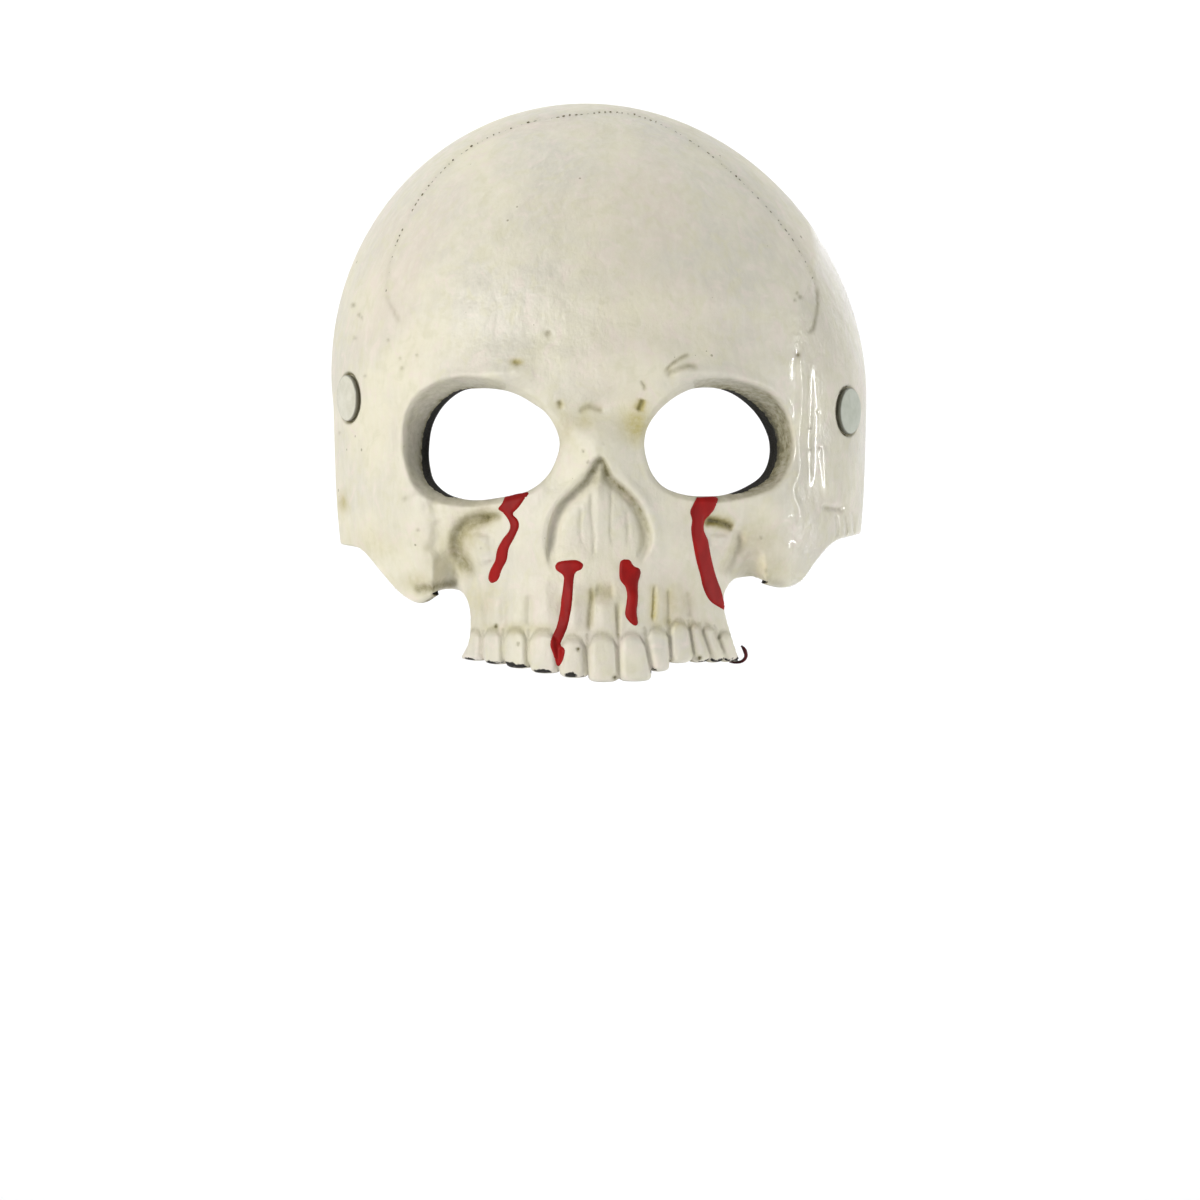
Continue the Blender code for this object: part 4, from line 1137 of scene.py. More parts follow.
class Finish:
    """A material's node tree while it is being made."""

    def __init__(self, name: str) -> None:
        """Starts a material of that name."""
        self.material = bpy.data.materials.new(name)
        self.material.use_nodes = True
        self.tree = self.material.node_tree
        self.shader = self.tree.nodes["Principled BSDF"]
        self.place = self.add("ShaderNodeTexCoord", out="Object")

    def add(
        self, kind: str, settings: dict | None = None, links: dict | None = None, out: int | str = 0
    ) -> Socket:
        """Adds a node, and gives the output named by out."""
        return add_node(self.tree, kind, settings, links).outputs[out]

    def marked(self, name: str) -> Socket:
        """What the mesh carries under a name."""
        return self.add("ShaderNodeAttribute", {"attribute_name": name}, out="Fac")

    def noise(
        self, scale: float, detail: float, roughness: float = 0.5,
        distortion: float = 0.0, place: Socket | None = None,
    ) -> Socket:
        """A cloudy pattern over the piece."""
        settings = {"Scale": scale, "Detail": detail, "Roughness": roughness, "Distortion": distortion}
        return self.add("ShaderNodeTexNoise", settings, {"Vector": self.place if place is None else place})

    def cells(self, scale: float) -> Socket:
        """The distance to the middle of the nearest of many small cells."""
        return self.add("ShaderNodeTexVoronoi", {"Scale": scale}, {"Vector": self.place}, "Distance")

    def drawn_out(self, share: float) -> Socket:
        """Places for a pattern that is drawn out up and down."""
        settings = {"operation": "MULTIPLY", 1: (1.0, 1.0, share)}
        return self.add("ShaderNodeVectorMath", settings, {0: self.place})

    def ramp(self, value: Socket, low: float, high: float, first: float = 0.0, last: float = 1.0) -> Socket:
        """A straight way from first at low to last at high, level beyond."""
        return self.add("ShaderNodeMapRange", {1: low, 2: high, 3: first, 4: last}, {0: value})

    def sum_of(self, operation: str, *values: Socket | float) -> Socket:
        """One step of arithmetic on outputs and numbers."""
        numbers = {place: value for place, value in enumerate(values) if isinstance(value, float)}
        links = {place: value for place, value in enumerate(values) if not isinstance(value, float)}
        return self.add("ShaderNodeMath", {"operation": operation, **numbers}, links)

    def between(self, first: str, second: str, share: Socket) -> Socket:
        """A blend of two colours."""
        settings = {"data_type": "RGBA", 6: linear(first), 7: linear(second)}
        return self.add("ShaderNodeMix", settings, {0: share}, 2)

    def over(self, tone: Socket, colour: str, share: Socket) -> Socket:
        """A colour laid over a tone."""
        return self.add("ShaderNodeMix", {"data_type": "RGBA", 7: linear(colour)}, {0: share, 6: tone}, 2)

    def bump(self, height: Socket, strength: float, distance: float, under: Socket | None = None) -> Socket:
        """Bumps of a height, over others where there are any."""
        links = {"Height": height, **({} if under is None else {"Normal": under})}
        return self.add("ShaderNodeBump", {"Strength": strength, "Distance": distance}, links)

    def shade(self, settings: dict, links: dict) -> Material:
        """Sets and links the shader's own sockets.

        Args:
            settings: Values by socket.
            links: Outputs of nodes by socket.

        Returns:
            The finished material.
        """
        for key, value in settings.items():
            self.shader.inputs[key].default_value = value
        for key, source in links.items():
            self.tree.links.new(source, self.shader.inputs[key])
        return self.material


@dataclass(frozen=True)
class PaintedFoam:
    """Ivory latex brushed on dark moulded foam, an olive wash and painted shade in its hollows, and gloss on
    one flank.
    """

    name: str = "ivory_brushed_latex_on_foam"
    ivory: str = "#efebda"
    cool: str = "#dcd8c8"
    warm: str = "#e9e4cc"
    rosy: str = "#e2d8c9"
    # olive and deep colour the wash and painted shade of the hollows; deep is the painted shade where they
    # are darkest.
    olive: str = "#776f41"
    deep: str = "#2c2818"
    yellow: str = "#c2b566"
    green: str = "#dedabf"
    pink: str = "#ece0d4"
    foam: str = "#26241f"
    roughness: float = 0.50
    glossy: float = 0.20
    foam_roughness: float = 0.88

    def material(self) -> Material:
        """Makes the paint: patches of tone, wash and stains, brush marks, specks and bare foam.

        Returns:
            The material.
        """
        finish = Finish(self.name)
        wash, yellow, bare, gloss = (finish.marked(name) for name in ("wash", "yellow", "bare", "gloss"))
        # Broad patches of warmer, cooler and rosier paint, about 25 mm across.
        patches = finish.noise(38.0, 4.0, 0.55)
        tone = finish.between(self.cool, self.warm, finish.ramp(patches, 0.38, 0.62))
        blush = finish.noise(24.0, 3.0, distortion=0.6)
        tone = finish.over(tone, self.rosy, finish.ramp(blush, 0.50, 0.72, 0.0, 0.75))
        # Smaller dabs, greener and pinker, about 5 mm across.
        dabs = finish.noise(170.0, 4.0, distortion=0.8)
        tone = finish.over(tone, self.green, finish.ramp(dabs, 0.52, 0.66, 0.0, 0.70))
        tone = finish.over(tone, self.pink, finish.ramp(dabs, 0.46, 0.32, 0.0, 0.60))
        # Brush marks run up and down, about 1 mm wide.
        brush = finish.noise(430.0, 5.0, 0.6, place=finish.drawn_out(0.30))
        tone = finish.over(tone, self.ivory, finish.ramp(brush, 0.42, 0.70, 0.0, 0.40))
        # Stains, then the wash and painted shade of the hollows, laid unevenly, with a near-black painted
        # shade where they are strongest.
        grain = finish.noise(420.0, 5.0, 0.65)
        uneven = finish.ramp(grain, 0.30, 0.70, 0.62, 1.30)
        clamped = {"operation": "MULTIPLY", "use_clamp": True}
        stained = finish.add("ShaderNodeMath", clamped, {0: yellow, 1: uneven})
        tone = finish.over(tone, self.yellow, stained)
        washed = finish.sum_of("MULTIPLY", wash, uneven)
        tone = finish.over(tone, self.olive, finish.ramp(washed, 0.0, 1.0, 0.0, 0.92))
        tone = finish.over(tone, self.deep, finish.ramp(washed, 0.85, 1.60))
        # Fine dark specks where the foam's pores show through the paint.
        reach = finish.ramp(finish.noise(55.0, 2.0), 0.55, 0.75, 0.0, 0.13)
        speck = finish.sum_of("LESS_THAN", finish.cells(210.0), reach)
        tone = finish.over(tone, self.olive, finish.sum_of("MULTIPLY", speck, 0.55))
        # Bare foam with a ragged edge of paint.
        ragged = finish.ramp(grain, 0.25, 0.75, -0.42, 0.42)
        bare = finish.ramp(finish.sum_of("ADD", bare, ragged), 0.46, 0.60)
        tone = finish.over(tone, self.foam, bare)
        # Satin paint, shinier on the glossy flank and dull on the foam.
        satin = finish.ramp(gloss, 0.0, 1.0, self.roughness, self.glossy)
        satin = finish.sum_of("ADD", satin, finish.ramp(patches, 0.3, 0.7, -0.07, 0.09))
        rough = finish.add("ShaderNodeMix", {3: self.foam_roughness}, {0: bare, 2: satin})
        coat = finish.sum_of("MULTIPLY", gloss, 0.85)
        # Brush ridges over a fine grain and soft swells, and open pores in the foam.
        bump = finish.bump(brush, 0.7, 0.0003)
        bump = finish.bump(grain, 0.6, 0.0003, bump)
        bump = finish.bump(finish.noise(110.0, 3.0), 0.8, 0.0014, bump)
        bump = finish.bump(finish.sum_of("MULTIPLY", finish.cells(1500.0), bare), 0.8, 0.0004, bump)
        links = {"Base Color": tone, "Roughness": rough, "Coat Weight": coat, "Normal": bump}
        return finish.shade({"Coat Roughness": 0.06}, links)


@dataclass(frozen=True)
class BareFoam:
    """Dark grey foam as it leaves the mould, matt, with fine open pores and flow marks."""

    name: str = "dark_grey_moulded_foam"
    dark: str = "#1d1b18"
    pale: str = "#34312c"
    roughness: float = 0.9

    def material(self) -> Material:
        """Makes the foam: cloudy grey with pores below a millimetre.

        Returns:
            The material.
        """
        finish = Finish(self.name)
        clouds = finish.noise(70.0, 5.0, 0.6)
        pores = finish.ramp(finish.cells(900.0), 0.05, 0.35)
        tone = finish.between(self.dark, self.pale, finish.sum_of("MULTIPLY", clouds, pores))
        bump = finish.bump(clouds, 0.5, 0.0012, finish.bump(pores, 0.7, 0.0004))
        return finish.shade({"Roughness": self.roughness}, {"Base Color": tone, "Normal": bump})


@dataclass(frozen=True)
class RunPaint:
    """Thick paint that ran down and set, in darker and brighter streaks along the run."""

    name: str = "glossy_red_run_paint"
    bright: str = "#a4110e"
    dark: str = "#880b09"
    roughness: float = 0.55

    def material(self) -> Material:
        """Makes the paint: two tones in streaks along the run, with soft ripples.

        Returns:
            The material.
        """
        finish = Finish(self.name)
        streaks = finish.noise(190.0, 4.0, place=finish.drawn_out(0.4))
        tone = finish.between(self.bright, self.dark, finish.ramp(streaks, 0.38, 0.66))
        rough = finish.ramp(streaks, 0.0, 1.0, self.roughness - 0.06, self.roughness + 0.12)
        links = {"Base Color": tone, "Roughness": rough, "Normal": finish.bump(streaks, 0.4, 0.0005)}
        return finish.shade({"Specular IOR Level": 0.24}, links)


@dataclass(frozen=True)
class RivetPaint:
    """Bone-coloured paint brushed over a pressed metal rivet head."""

    name: str
    pale: str
    dull: str
    gap_shade: str = "#4d4a39"
    roughness: float = 0.40

    def material(self) -> Material:
        """Makes the paint: uneven tone with a dark line of painted shade at the rim, where the head meets
        its seat.

        Returns:
            The material.
        """
        finish = Finish(self.name)
        cloud = finish.noise(260.0, 5.0, 0.6)
        tone = finish.between(self.pale, self.dull, finish.ramp(cloud, 0.35, 0.65))
        # Painted shade in the gap round the head's rim.
        tone = finish.over(tone, self.gap_shade, finish.marked("wash"))
        rough = finish.ramp(cloud, 0.0, 1.0, self.roughness - 0.1, self.roughness + 0.15)
        links = {"Base Color": tone, "Roughness": rough, "Normal": finish.bump(cloud, 0.5, 0.0003)}
        return finish.shade({"Coat Weight": 0.25}, links)


@dataclass(frozen=True)
class CapLacquer:
    """Black lacquer on pressed metal, with a few fine scuffs."""

    name: str = "black_lacquered_metal"
    black: str = "#141414"
    worn: str = "#4a4844"
    roughness: float = 0.38

    def material(self) -> Material:
        """Makes the lacquer: near black, rubbed greyer in spots.

        Returns:
            The material.
        """
        finish = Finish(self.name)
        scuffs = finish.noise(700.0, 6.0, 0.7)
        tone = finish.between(self.black, self.worn, finish.ramp(scuffs, 0.58, 0.74))
        rough = finish.ramp(scuffs, 0.0, 1.0, self.roughness - 0.08, self.roughness + 0.2)
        links = {"Base Color": tone, "Roughness": rough, "Normal": finish.bump(scuffs, 0.3, 0.0002)}
        return finish.shade({"Metallic": 0.25}, links)


@dataclass(frozen=True)
class WovenElastic:
    """Black braided elastic: rubber cords lengthwise under crossing threads."""

    name: str = "black_braided_elastic"
    thread: str = "#1b1b1d"
    gap: str = "#070708"
    crossings: float = 0.9 * MM
    wave: float = 1.6 * MM
    roughness: float = 0.86

    def material(self) -> Material:
        """Makes the elastic: a fine braid across the cords, in the band's own coordinates.

        Returns:
            The material.
        """
        finish = Finish(self.name)
        band = finish.add("ShaderNodeUVMap", {"uv_map": "band"})
        across, along = (finish.add("ShaderNodeSeparateXYZ", {}, {0: band}, axis) for axis in (0, 1))
        turned = finish.sum_of("MULTIPLY", along, 2 * math.pi / self.crossings)
        wave = finish.sum_of("SINE", finish.sum_of("MULTIPLY", across, 2 * math.pi / self.wave))
        threads = finish.sum_of("SINE", finish.sum_of("MULTIPLY_ADD", wave, 1.4, turned))
        # The gaps between the threads are darker: painted shade in the weave's low places.
        tone = finish.between(self.gap, self.thread, finish.ramp(threads, -1.0, 0.4))
        bump = finish.bump(finish.noise(1800.0, 3.0), 0.3, 0.00015, finish.bump(threads, 0.8, 0.00025))
        settings = {"Roughness": self.roughness, "Sheen Weight": 0.3, "Sheen Roughness": 0.4}
        return finish.shade(settings, {"Base Color": tone, "Normal": bump})


@dataclass(frozen=True)
class Backdrop:
    """Matt white paper for floor and background."""

    name: str = "matt_white_paper"
    white: str = "#fbfbfc"
    shade: str = "#f6f6f8"

    def material(self) -> Material:
        """Makes the paper: white with the faintest mottle."""
        finish = Finish(self.name)
        tone = finish.between(self.white, self.shade, finish.noise(3.0, 2.0))
        return finish.shade({"Roughness": 0.9}, {"Base Color": tone})


@dataclass
class MaskShell:
    """The moulded shell: painted outside, bare foam inside and on its cut edges."""

    form: MaskForm
    seats: tuple[RivetSeat, ...]
    left_corner_up: float = -0.452
    right_corner_up: float = -0.418
    edge_round: float = 1.5 * MM
    lip_round: float = 0.5 * MM
    edge_bulge: float = 0.25 * MM
    seam_depth: float = 0.35 * MM
    rim_rows: int = 4
    teeth_mesh: float = 0.55 * MM
    face_mesh: float = 0.80 * MM
    dome_mesh: float = 1.70 * MM
    inner_mesh: float = 3.0 * MM
    left_edge: Path = (
        (-0.835, -0.475), (-0.765, -0.547), (-0.703, -0.610), (-0.643, -0.639), (-0.591, -0.617),
        (-0.529, -0.598), (-0.490, -0.607), (-0.466, -0.642), (-0.459, -0.699), (-0.466, -0.761),
        (-0.494, -0.812),
    )
    right_edge: Path = (
        (0.494, -0.821), (0.470, -0.755), (0.449, -0.692), (0.438, -0.642), (0.445, -0.601),
        (0.473, -0.570), (0.522, -0.563), (0.577, -0.576), (0.650, -0.592), (0.706, -0.573),
        (0.758, -0.510), (0.821, -0.450),
    )
    rings: list[Points] = field(default_factory=list)

    def mesh_size(self, pattern: Points) -> Points:
        """The triangle side wanted at points of the flat pattern, apart from edges.

        Args:
            pattern: Points of the pattern.

        Returns:
            The side at each point.
        """
        front = self.form.front_of(pattern)
        to_brow = smooth_step(0.028, 0.050, front[:, 1])
        to_flank = smooth_step(0.070, 0.086, np.abs(front[:, 0]))
        coarser = self.dome_mesh - self.face_mesh
        size = self.face_mesh + coarser * np.maximum(to_brow, to_flank)
        teeth = smooth_step(-0.070, -0.060, front[:, 1])
        size = np.minimum(size, self.teeth_mesh + (self.dome_mesh - self.teeth_mesh) * teeth)
        suture = distance_to_line(front, np.array(SUTURE) * MM)[0]
        near = smooth_step(1.2 * MM, 5.0 * MM, suture)
        size = np.minimum(size, self.face_mesh + coarser * near)
        for seat in self.seats:
            near = smooth_step(0.010, 0.016, seat.distance(self.form.dome.point(pattern)))
            size = np.minimum(size, self.face_mesh + coarser * near)
        return size

    def outer_size(self, pattern: Points) -> Points:
        """The triangle side wanted on the outer surface, finer along its edges.

        Args:
            pattern: Points of the pattern.

        Returns:
            The side at each point.
        """
        size = self.mesh_size(pattern)
        for ring in self.rings:
            away = distance_to_line(pattern, np.concatenate([ring[::4], ring[:1]]))[0]
            size = np.minimum(size, 0.6 * MM + 0.35 * np.maximum(away - 2.5 * MM, 0.0))
        return size

    def make_rings(self) -> None:
        """Draws the rings that bound the pattern: the shell's edge, the eye holes and the rivets' bores."""
        form, dome = self.form, self.form.dome
        scale = np.array([dome.half_width, dome.height])
        right_angle = dome.corner_angle(Side.RIGHT, self.right_corner_up)
        left_angle = dome.corner_angle(Side.LEFT, self.left_corner_up)
        top = np.array([dome.back_edge(angle) for angle in np.linspace(right_angle, left_angle, 160)])
        corners = form.front_of(top[[-1, 0]])
        left = smooth_line([corners[0], *(np.array(self.left_edge) * scale)], 0.0005)
        right = smooth_line([*(np.array(self.right_edge) * scale), corners[1]], 0.0005)
        feet = smooth_line([left[-1], *form.teeth.feet(), right[0]], 0.0004)
        runs = [top, *(dome.pattern_of(run) for run in (left, feet, right))]

        def even(pattern: Points) -> Points:
            """The spacing of points along an edge."""
            return np.clip(self.mesh_size(pattern), 0.5 * MM, 1.1 * MM)

        self.rings = [np.concatenate([spaced(run, even)[:-1] for run in runs])]
        self.rings += [spaced(dome.pattern_of(eye.ring(241)), even)[:-1] for eye in form.eyes]
        self.rings += [seat.ring(0.5 * seat.bore, 24) for seat in self.seats]

    def rounded(self, pattern: Points, places: Points, normals: Points) -> Points:
        """The surface with its edges rounded over and the rivets' seats pressed in.

        Args:
            pattern: Points of the pattern.
            places: The surface there.
            normals: The outward directions there.

        Returns:
            The points moved in.
        """
        sink = np.zeros(len(pattern))
        for ring, radius in zip(self.rings, (self.edge_round, self.lip_round, self.lip_round)):
            away = distance_to_line(pattern, closed(ring))[0]
            short = np.clip(radius - away, 0.0, radius)
            sink = np.maximum(sink, radius - np.sqrt(radius**2 - short**2))
        for seat in self.seats:
            radius = 0.5 * seat.head + seat.margin
            away = seat.distance(places)
            sink += seat.depth * (1 - smooth_step(radius - 0.3 * MM, radius + 0.5 * MM, away))
        return places - normals * sink[:, None]

    def rim(self, outer: Points, inner: Points, edges: Sequence[tuple[int, int]]) -> tuple[Points, list]:
        """The cut edge between the two surfaces.

        Args:
            outer: The outer surface's points on the rings.
            inner: The inner surface's points on the rings.
            edges: The rings' edges.

        Returns:
            The points of the rows between, and each row's share of the way in.
        """
        flat = np.concatenate(self.rings)
        outward = np.zeros_like(flat)
        for start, end in edges:
            run = flat[end] - flat[start]
            side = np.array([run[1], -run[0]]) / max(np.linalg.norm(run), 1e-12)
            outward[start] += side
            outward[end] += side
        middle = flat + outward * 0.1 * MM
        flip = inside(middle, self.rings[0])
        for ring in self.rings[1:]:
            flip &= ~inside(middle, ring)
        outward[flip] *= -1
        outward = unit(outward)
        away = unit(self.form.surface(flat + outward * 0.4 * MM) - self.form.surface(flat))
        shares = np.arange(1, self.rim_rows) / self.rim_rows
        rows = [
            outer + (inner - outer) * share + away * self.edge_bulge * math.sin(math.pi * share)
            for share in shares
        ]
        return np.concatenate(rows), shares.tolist()

    def build(self, paint: Material, foam: Material) -> Piece:
        """Makes the shell with its attributes for the paint.

        Args:
            paint: The painted finish.
            foam: The bare foam.

        Returns:
            The shell.
        """
        self.make_rings()
        fitted = FlatMesh(self.rings, self.outer_size, self.teeth_mesh, self.dome_mesh)
        pattern, outer_faces, edges = fitted.triangles()
        inner_pattern, inner_faces, _ = FlatMesh.even(self.rings, self.inner_mesh).triangles()
        LOG.info("pattern: %d and %d points", len(pattern), len(inner_pattern))
        front = self.form.front_of(pattern)
        touch = self.form.touches(front)
        # The seam's groove, with a little wash and painted shade in it.
        seam = bell(distance_to_line(front, smooth_line(SUTURE, 2.0) * MM)[0], 0.8 * MM)
        touch = touch._replace(lift=touch.lift - self.seam_depth * seam, wash=touch.wash + 0.10 * seam)
        outer = self.rounded(pattern, self.form.surface(pattern, touch), self.form.normal(pattern))
        # A dark ring of painted shade round each rivet's seat, in the gap beside the head.
        for seat in self.seats:
            away = seat.distance(outer) - 0.5 * seat.head - 0.4 * MM
            touch = touch._replace(wash=touch.wash + 1.1 * bell(away, 0.55 * MM))
        inner = self.form.inner(inner_pattern)
        ring_count = sum(map(len, self.rings))
        rows, shares = self.rim(outer[:ring_count], inner[:ring_count], edges)
        first_inner = len(outer)
        first_row = first_inner + len(inner)
        levels = [0, *(first_row + row * ring_count for row in range(len(shares))), first_inner]
        faces = [tuple(face) for face in outer_faces]
        faces += [tuple(first_inner + face[::-1]) for face in inner_faces]
        for upper, lower in zip(levels, levels[1:]):
            faces += [(upper + end, upper + start, lower + start, lower + end) for start, end in edges]
        shell = new_piece("mask_shell_painted", np.concatenate([outer, inner, rows]), faces, [paint, foam])
        material = np.zeros(len(faces), np.int32)
        material[len(outer_faces) : len(outer_faces) + len(inner_faces)] = 1
        shell.data.polygons.foreach_set("material_index", material)
        edge_x = np.array(GLOSS_EDGE)[::-1]
        gloss = front[:, 0] / MM - np.interp(front[:, 1] / MM, edge_x[:, 1], edge_x[:, 0])
        gloss = smooth_step(-1.0, 2.0, gloss)
        rim_bare = np.concatenate([np.full(ring_count, 2.2 * (share - 0.45)) for share in shares])
        values = {"wash": touch.wash, "yellow": touch.yellow, "bare": touch.bare, "gloss": gloss}
        for name, outside in values.items():
            # The cut edge's outer rows carry painted shade, where the edge turns under; further in it is
            # bare foam.
            on_rim = {"bare": rim_bare, "wash": np.full(len(rows), 0.75)}.get(name, np.zeros(len(rows)))
            on_inner = np.full(len(inner), 1.0 if name == "bare" else 0.0)
            everywhere = np.concatenate([outside, on_inner, on_rim]).astype(np.float32)
            shell.data.attributes.new(name, "FLOAT", "POINT").data.foreach_set("value", everywhere)
        return shell


RUNS: dict[str, Path] = {
    # Outlines of the runs of red paint, in millimetres of the front drawing.
    "paint_run_left_eye": (
        (-30.4, -30.7), (-31.4, -33.0), (-32.6, -34.9), (-31.0, -36.2), (-29.4, -38.4), (-28.8, -40.3),
        (-29.4, -42.2), (-31.4, -44.8), (-33.0, -48.0), (-33.6, -51.2), (-35.2, -54.4), (-35.8, -57.0),
        (-34.9, -58.6), (-33.3, -58.2), (-32.3, -57.0), (-31.4, -54.4), (-29.8, -51.2), (-29.1, -47.4),
        (-27.2, -43.8), (-25.9, -40.6), (-26.2, -38.4), (-27.8, -36.5), (-26.2, -34.6), (-24.3, -32.0),
        (-23.0, -29.4),
    ),
    "paint_run_left_nose": (
        (-14.4, -53.1), (-13.4, -51.8), (-10.2, -51.2), (-7.4, -51.2), (-5.4, -52.5), (-5.8, -54.1),
        (-8.0, -55.7), (-8.6, -60.8), (-9.0, -65.6), (-10.2, -72.0), (-11.5, -75.5), (-12.5, -78.1),
        (-11.2, -80.0), (-11.8, -83.2), (-13.4, -85.4), (-14.4, -83.5), (-15.0, -81.6), (-16.0, -78.4),
        (-15.4, -75.8), (-13.8, -72.0), (-12.8, -67.2), (-12.5, -64.0), (-11.8, -59.2), (-11.8, -56.3),
        (-14.1, -54.4),
    ),
    "paint_run_right_nose": (
        (7.7, -50.9), (6.4, -51.8), (6.1, -55.0), (6.4, -57.6), (8.0, -59.8), (8.6, -62.4), (8.3, -65.6),
        (8.0, -68.8), (9.3, -71.0), (11.2, -72.3), (12.2, -71.4), (11.8, -67.8), (12.2, -64.0),
        (12.2, -59.2), (12.8, -56.6), (13.1, -55.0), (12.5, -53.8), (10.9, -53.1), (9.6, -51.2),
    ),
    "paint_run_right_eye": (
        (31.0, -31.0), (29.8, -33.3), (28.8, -35.8), (29.4, -38.4), (29.1, -41.6), (29.8, -46.4),
        (30.7, -51.2), (32.0, -56.0), (33.0, -60.2), (34.9, -64.0), (37.8, -66.2), (40.3, -66.9),
        (39.0, -61.4), (37.4, -57.0), (36.2, -52.8), (35.2, -48.0), (34.6, -44.8), (33.3, -41.6),
        (33.6, -38.7), (35.2, -36.8), (36.8, -34.6), (37.4, -31.0),
    ),
}


@dataclass(frozen=True)
class PaintRun:
    """A run of red paint: a closed film with rounded edges that lies on the shell."""

    shell: MaskShell
    name: str
    outline: Path
    thick: float = 0.55 * MM
    sunk: float = 0.30 * MM
    shoulder: float = 1.1 * MM
    mesh: float = 0.55 * MM

    def build(self, material: Material) -> Piece:
        """Makes the film from its outline.

        Args:
            material: The paint.

        Returns:
            The run.
        """
        form = self.shell.form
        outline = smooth_line([*self.outline, self.outline[0]], 0.5)[:-1] * MM
        ring = form.dome.pattern_of(outline)
        pattern, triangles, edges = FlatMesh.even([ring], self.mesh).triangles()
        normals = form.normal(pattern)
        touch = form.touches(form.front_of(pattern))
        places = self.shell.rounded(pattern, form.surface(pattern, touch), normals)
        away = distance_to_line(pattern, closed(ring))[0]
        short = 1 - np.clip(away / self.shoulder, 0.0, 1.0)
        proud = self.thick * np.sqrt(np.maximum(1 - short**2, 0.0)) - 0.05 * MM
        top = places + normals * proud[:, None]
        under = places - normals * self.sunk
        count = len(pattern)
        faces = [tuple(face) for face in triangles] + [tuple(count + face[::-1]) for face in triangles]
        faces += [(end, start, count + start, count + end) for start, end in edges]
        return new_piece(self.name, np.concatenate([top, under]), faces, [material])


@dataclass(frozen=True)
class Suture:
    """The pricked seam over the crown: short dark pricks, standing for the wash and the painted shade in
    pricked holes, set along a line by Geometry Nodes.
    """

    form: MaskForm
    spacing: float = 2.0 * MM
    length: float = 0.46 * MM
    width: float = 0.28 * MM
    sunk: float = 0.28 * MM
    astray: float = 0.3 * MM
    seed: int = 7

    def path(self) -> Piece:
        """The seam's line on the shell, with the outward direction at each point.

        Returns:
            The line as a mesh piece.
        """
        pattern = self.form.dome.pattern_of(smooth_line(SUTURE, 1.5) * MM)
        normals = self.form.normal(pattern)
        places = self.form.surface(pattern) - normals * self.sunk
        mesh = bpy.data.meshes.new("suture_pricks")
        mesh.from_pydata(places.tolist(), [(index, index + 1) for index in range(len(places) - 1)], [])
        outward = mesh.attributes.new("outward", "FLOAT_VECTOR", "POINT")
        outward.data.foreach_set("vector", normals.astype(np.float32).ravel())
        return linked("suture_pricks", mesh)

    def node_group(self) -> tuple[bpy.types.NodeTree, dict[str, str]]:
        """Builds the node group that sets the pricks.

        Returns:
            The group, and the identifier of each named input.
        """
        group = bpy.data.node_groups.new("set_pricks", "GeometryNodeTree")
        face = group.interface
        face.new_socket("Geometry", in_out="INPUT", socket_type="NodeSocketGeometry")
        kinds = {"Spacing": "Float", "Length": "Float", "Width": "Float", "Seed": "Int", "Paint": "Material"}
        inputs = {
            name: face.new_socket(name, in_out="INPUT", socket_type=f"NodeSocket{kind}").identifier
            for name, kind in kinds.items()
        }
        face.new_socket("Geometry", in_out="OUTPUT", socket_type="NodeSocketGeometry")

        add = partial(add_node, group)
        given = add("NodeGroupInput").outputs
        curve = add("GeometryNodeMeshToCurve", {}, {"Mesh": given["Geometry"]})
        links = {"Curve": curve.outputs[0], "Length": given["Spacing"]}
        spread = add("GeometryNodeResampleCurve", {"mode": "LENGTH"}, links)
        tangent = add("GeometryNodeInputTangent")
        outward = add("GeometryNodeInputNamedAttribute", {"data_type": "FLOAT_VECTOR", "Name": "outward"})
        axes = {"primary_axis": "Z", "secondary_axis": "X"}
        turn = add("FunctionNodeAxesToRotation", axes, {0: outward.outputs[0], 1: tangent.outputs[0]})
        limits = {0: (-self.astray,) * 3, 1: (self.astray,) * 3}
        seed = {"Seed": given["Seed"]}
        astray = add("FunctionNodeRandomValue", {"data_type": "FLOAT_VECTOR", **limits}, seed)
        links = {"Geometry": spread.outputs[0], "Offset": astray.outputs[0]}
        loose = add("GeometryNodeSetPosition", {}, links)
        long = add("FunctionNodeRandomValue", {"data_type": "FLOAT", 2: 0.25, 3: 1.6}, seed)
        length = add("ShaderNodeMath", {"operation": "MULTIPLY"}, {0: long.outputs[1], 1: given["Length"]})
        size = add("ShaderNodeCombineXYZ", {}, {0: length.outputs[0], 1: given["Width"], 2: given["Width"]})
        bead = add("GeometryNodeMeshIcoSphere", {"Radius": 1.0, "Subdivisions": 2})
        links = {"Points": loose.outputs[0], "Instance": bead.outputs[0]}
        links |= {"Rotation": turn.outputs[0], "Scale": size.outputs[0]}
        placed = add("GeometryNodeInstanceOnPoints", {}, links)
        real = add("GeometryNodeRealizeInstances", {}, {0: placed.outputs[0]})
        links = {"Geometry": real.outputs[0], "Material": given["Paint"]}
        painted = add("GeometryNodeSetMaterial", {}, links)
        add("NodeGroupOutput", {}, {0: painted.outputs[0]})
        return group, inputs

    def build(self, material: Material) -> Piece:
        """Makes the pricks as one plain mesh.

        Args:
            material: The dark wash and painted shade in the pricks.

        Returns:
            The pricks.
        """
        path = self.path()
        group, inputs = self.node_group()
        modifier = path.modifiers.new("pricks", "NODES")
        modifier.node_group = group
        values = {"Spacing": self.spacing, "Length": self.length, "Width": self.width, "Seed": self.seed}
        values["Paint"] = material
        for name, value in values.items():
            modifier[inputs[name]] = value
        graph = bpy.context.evaluated_depsgraph_get()
        mesh = bpy.data.meshes.new_from_object(path.evaluated_get(graph), depsgraph=graph)
        path.modifiers.remove(modifier)
        path.data = mesh
        mesh.name = path.name
        mesh.shade_smooth()
        return path


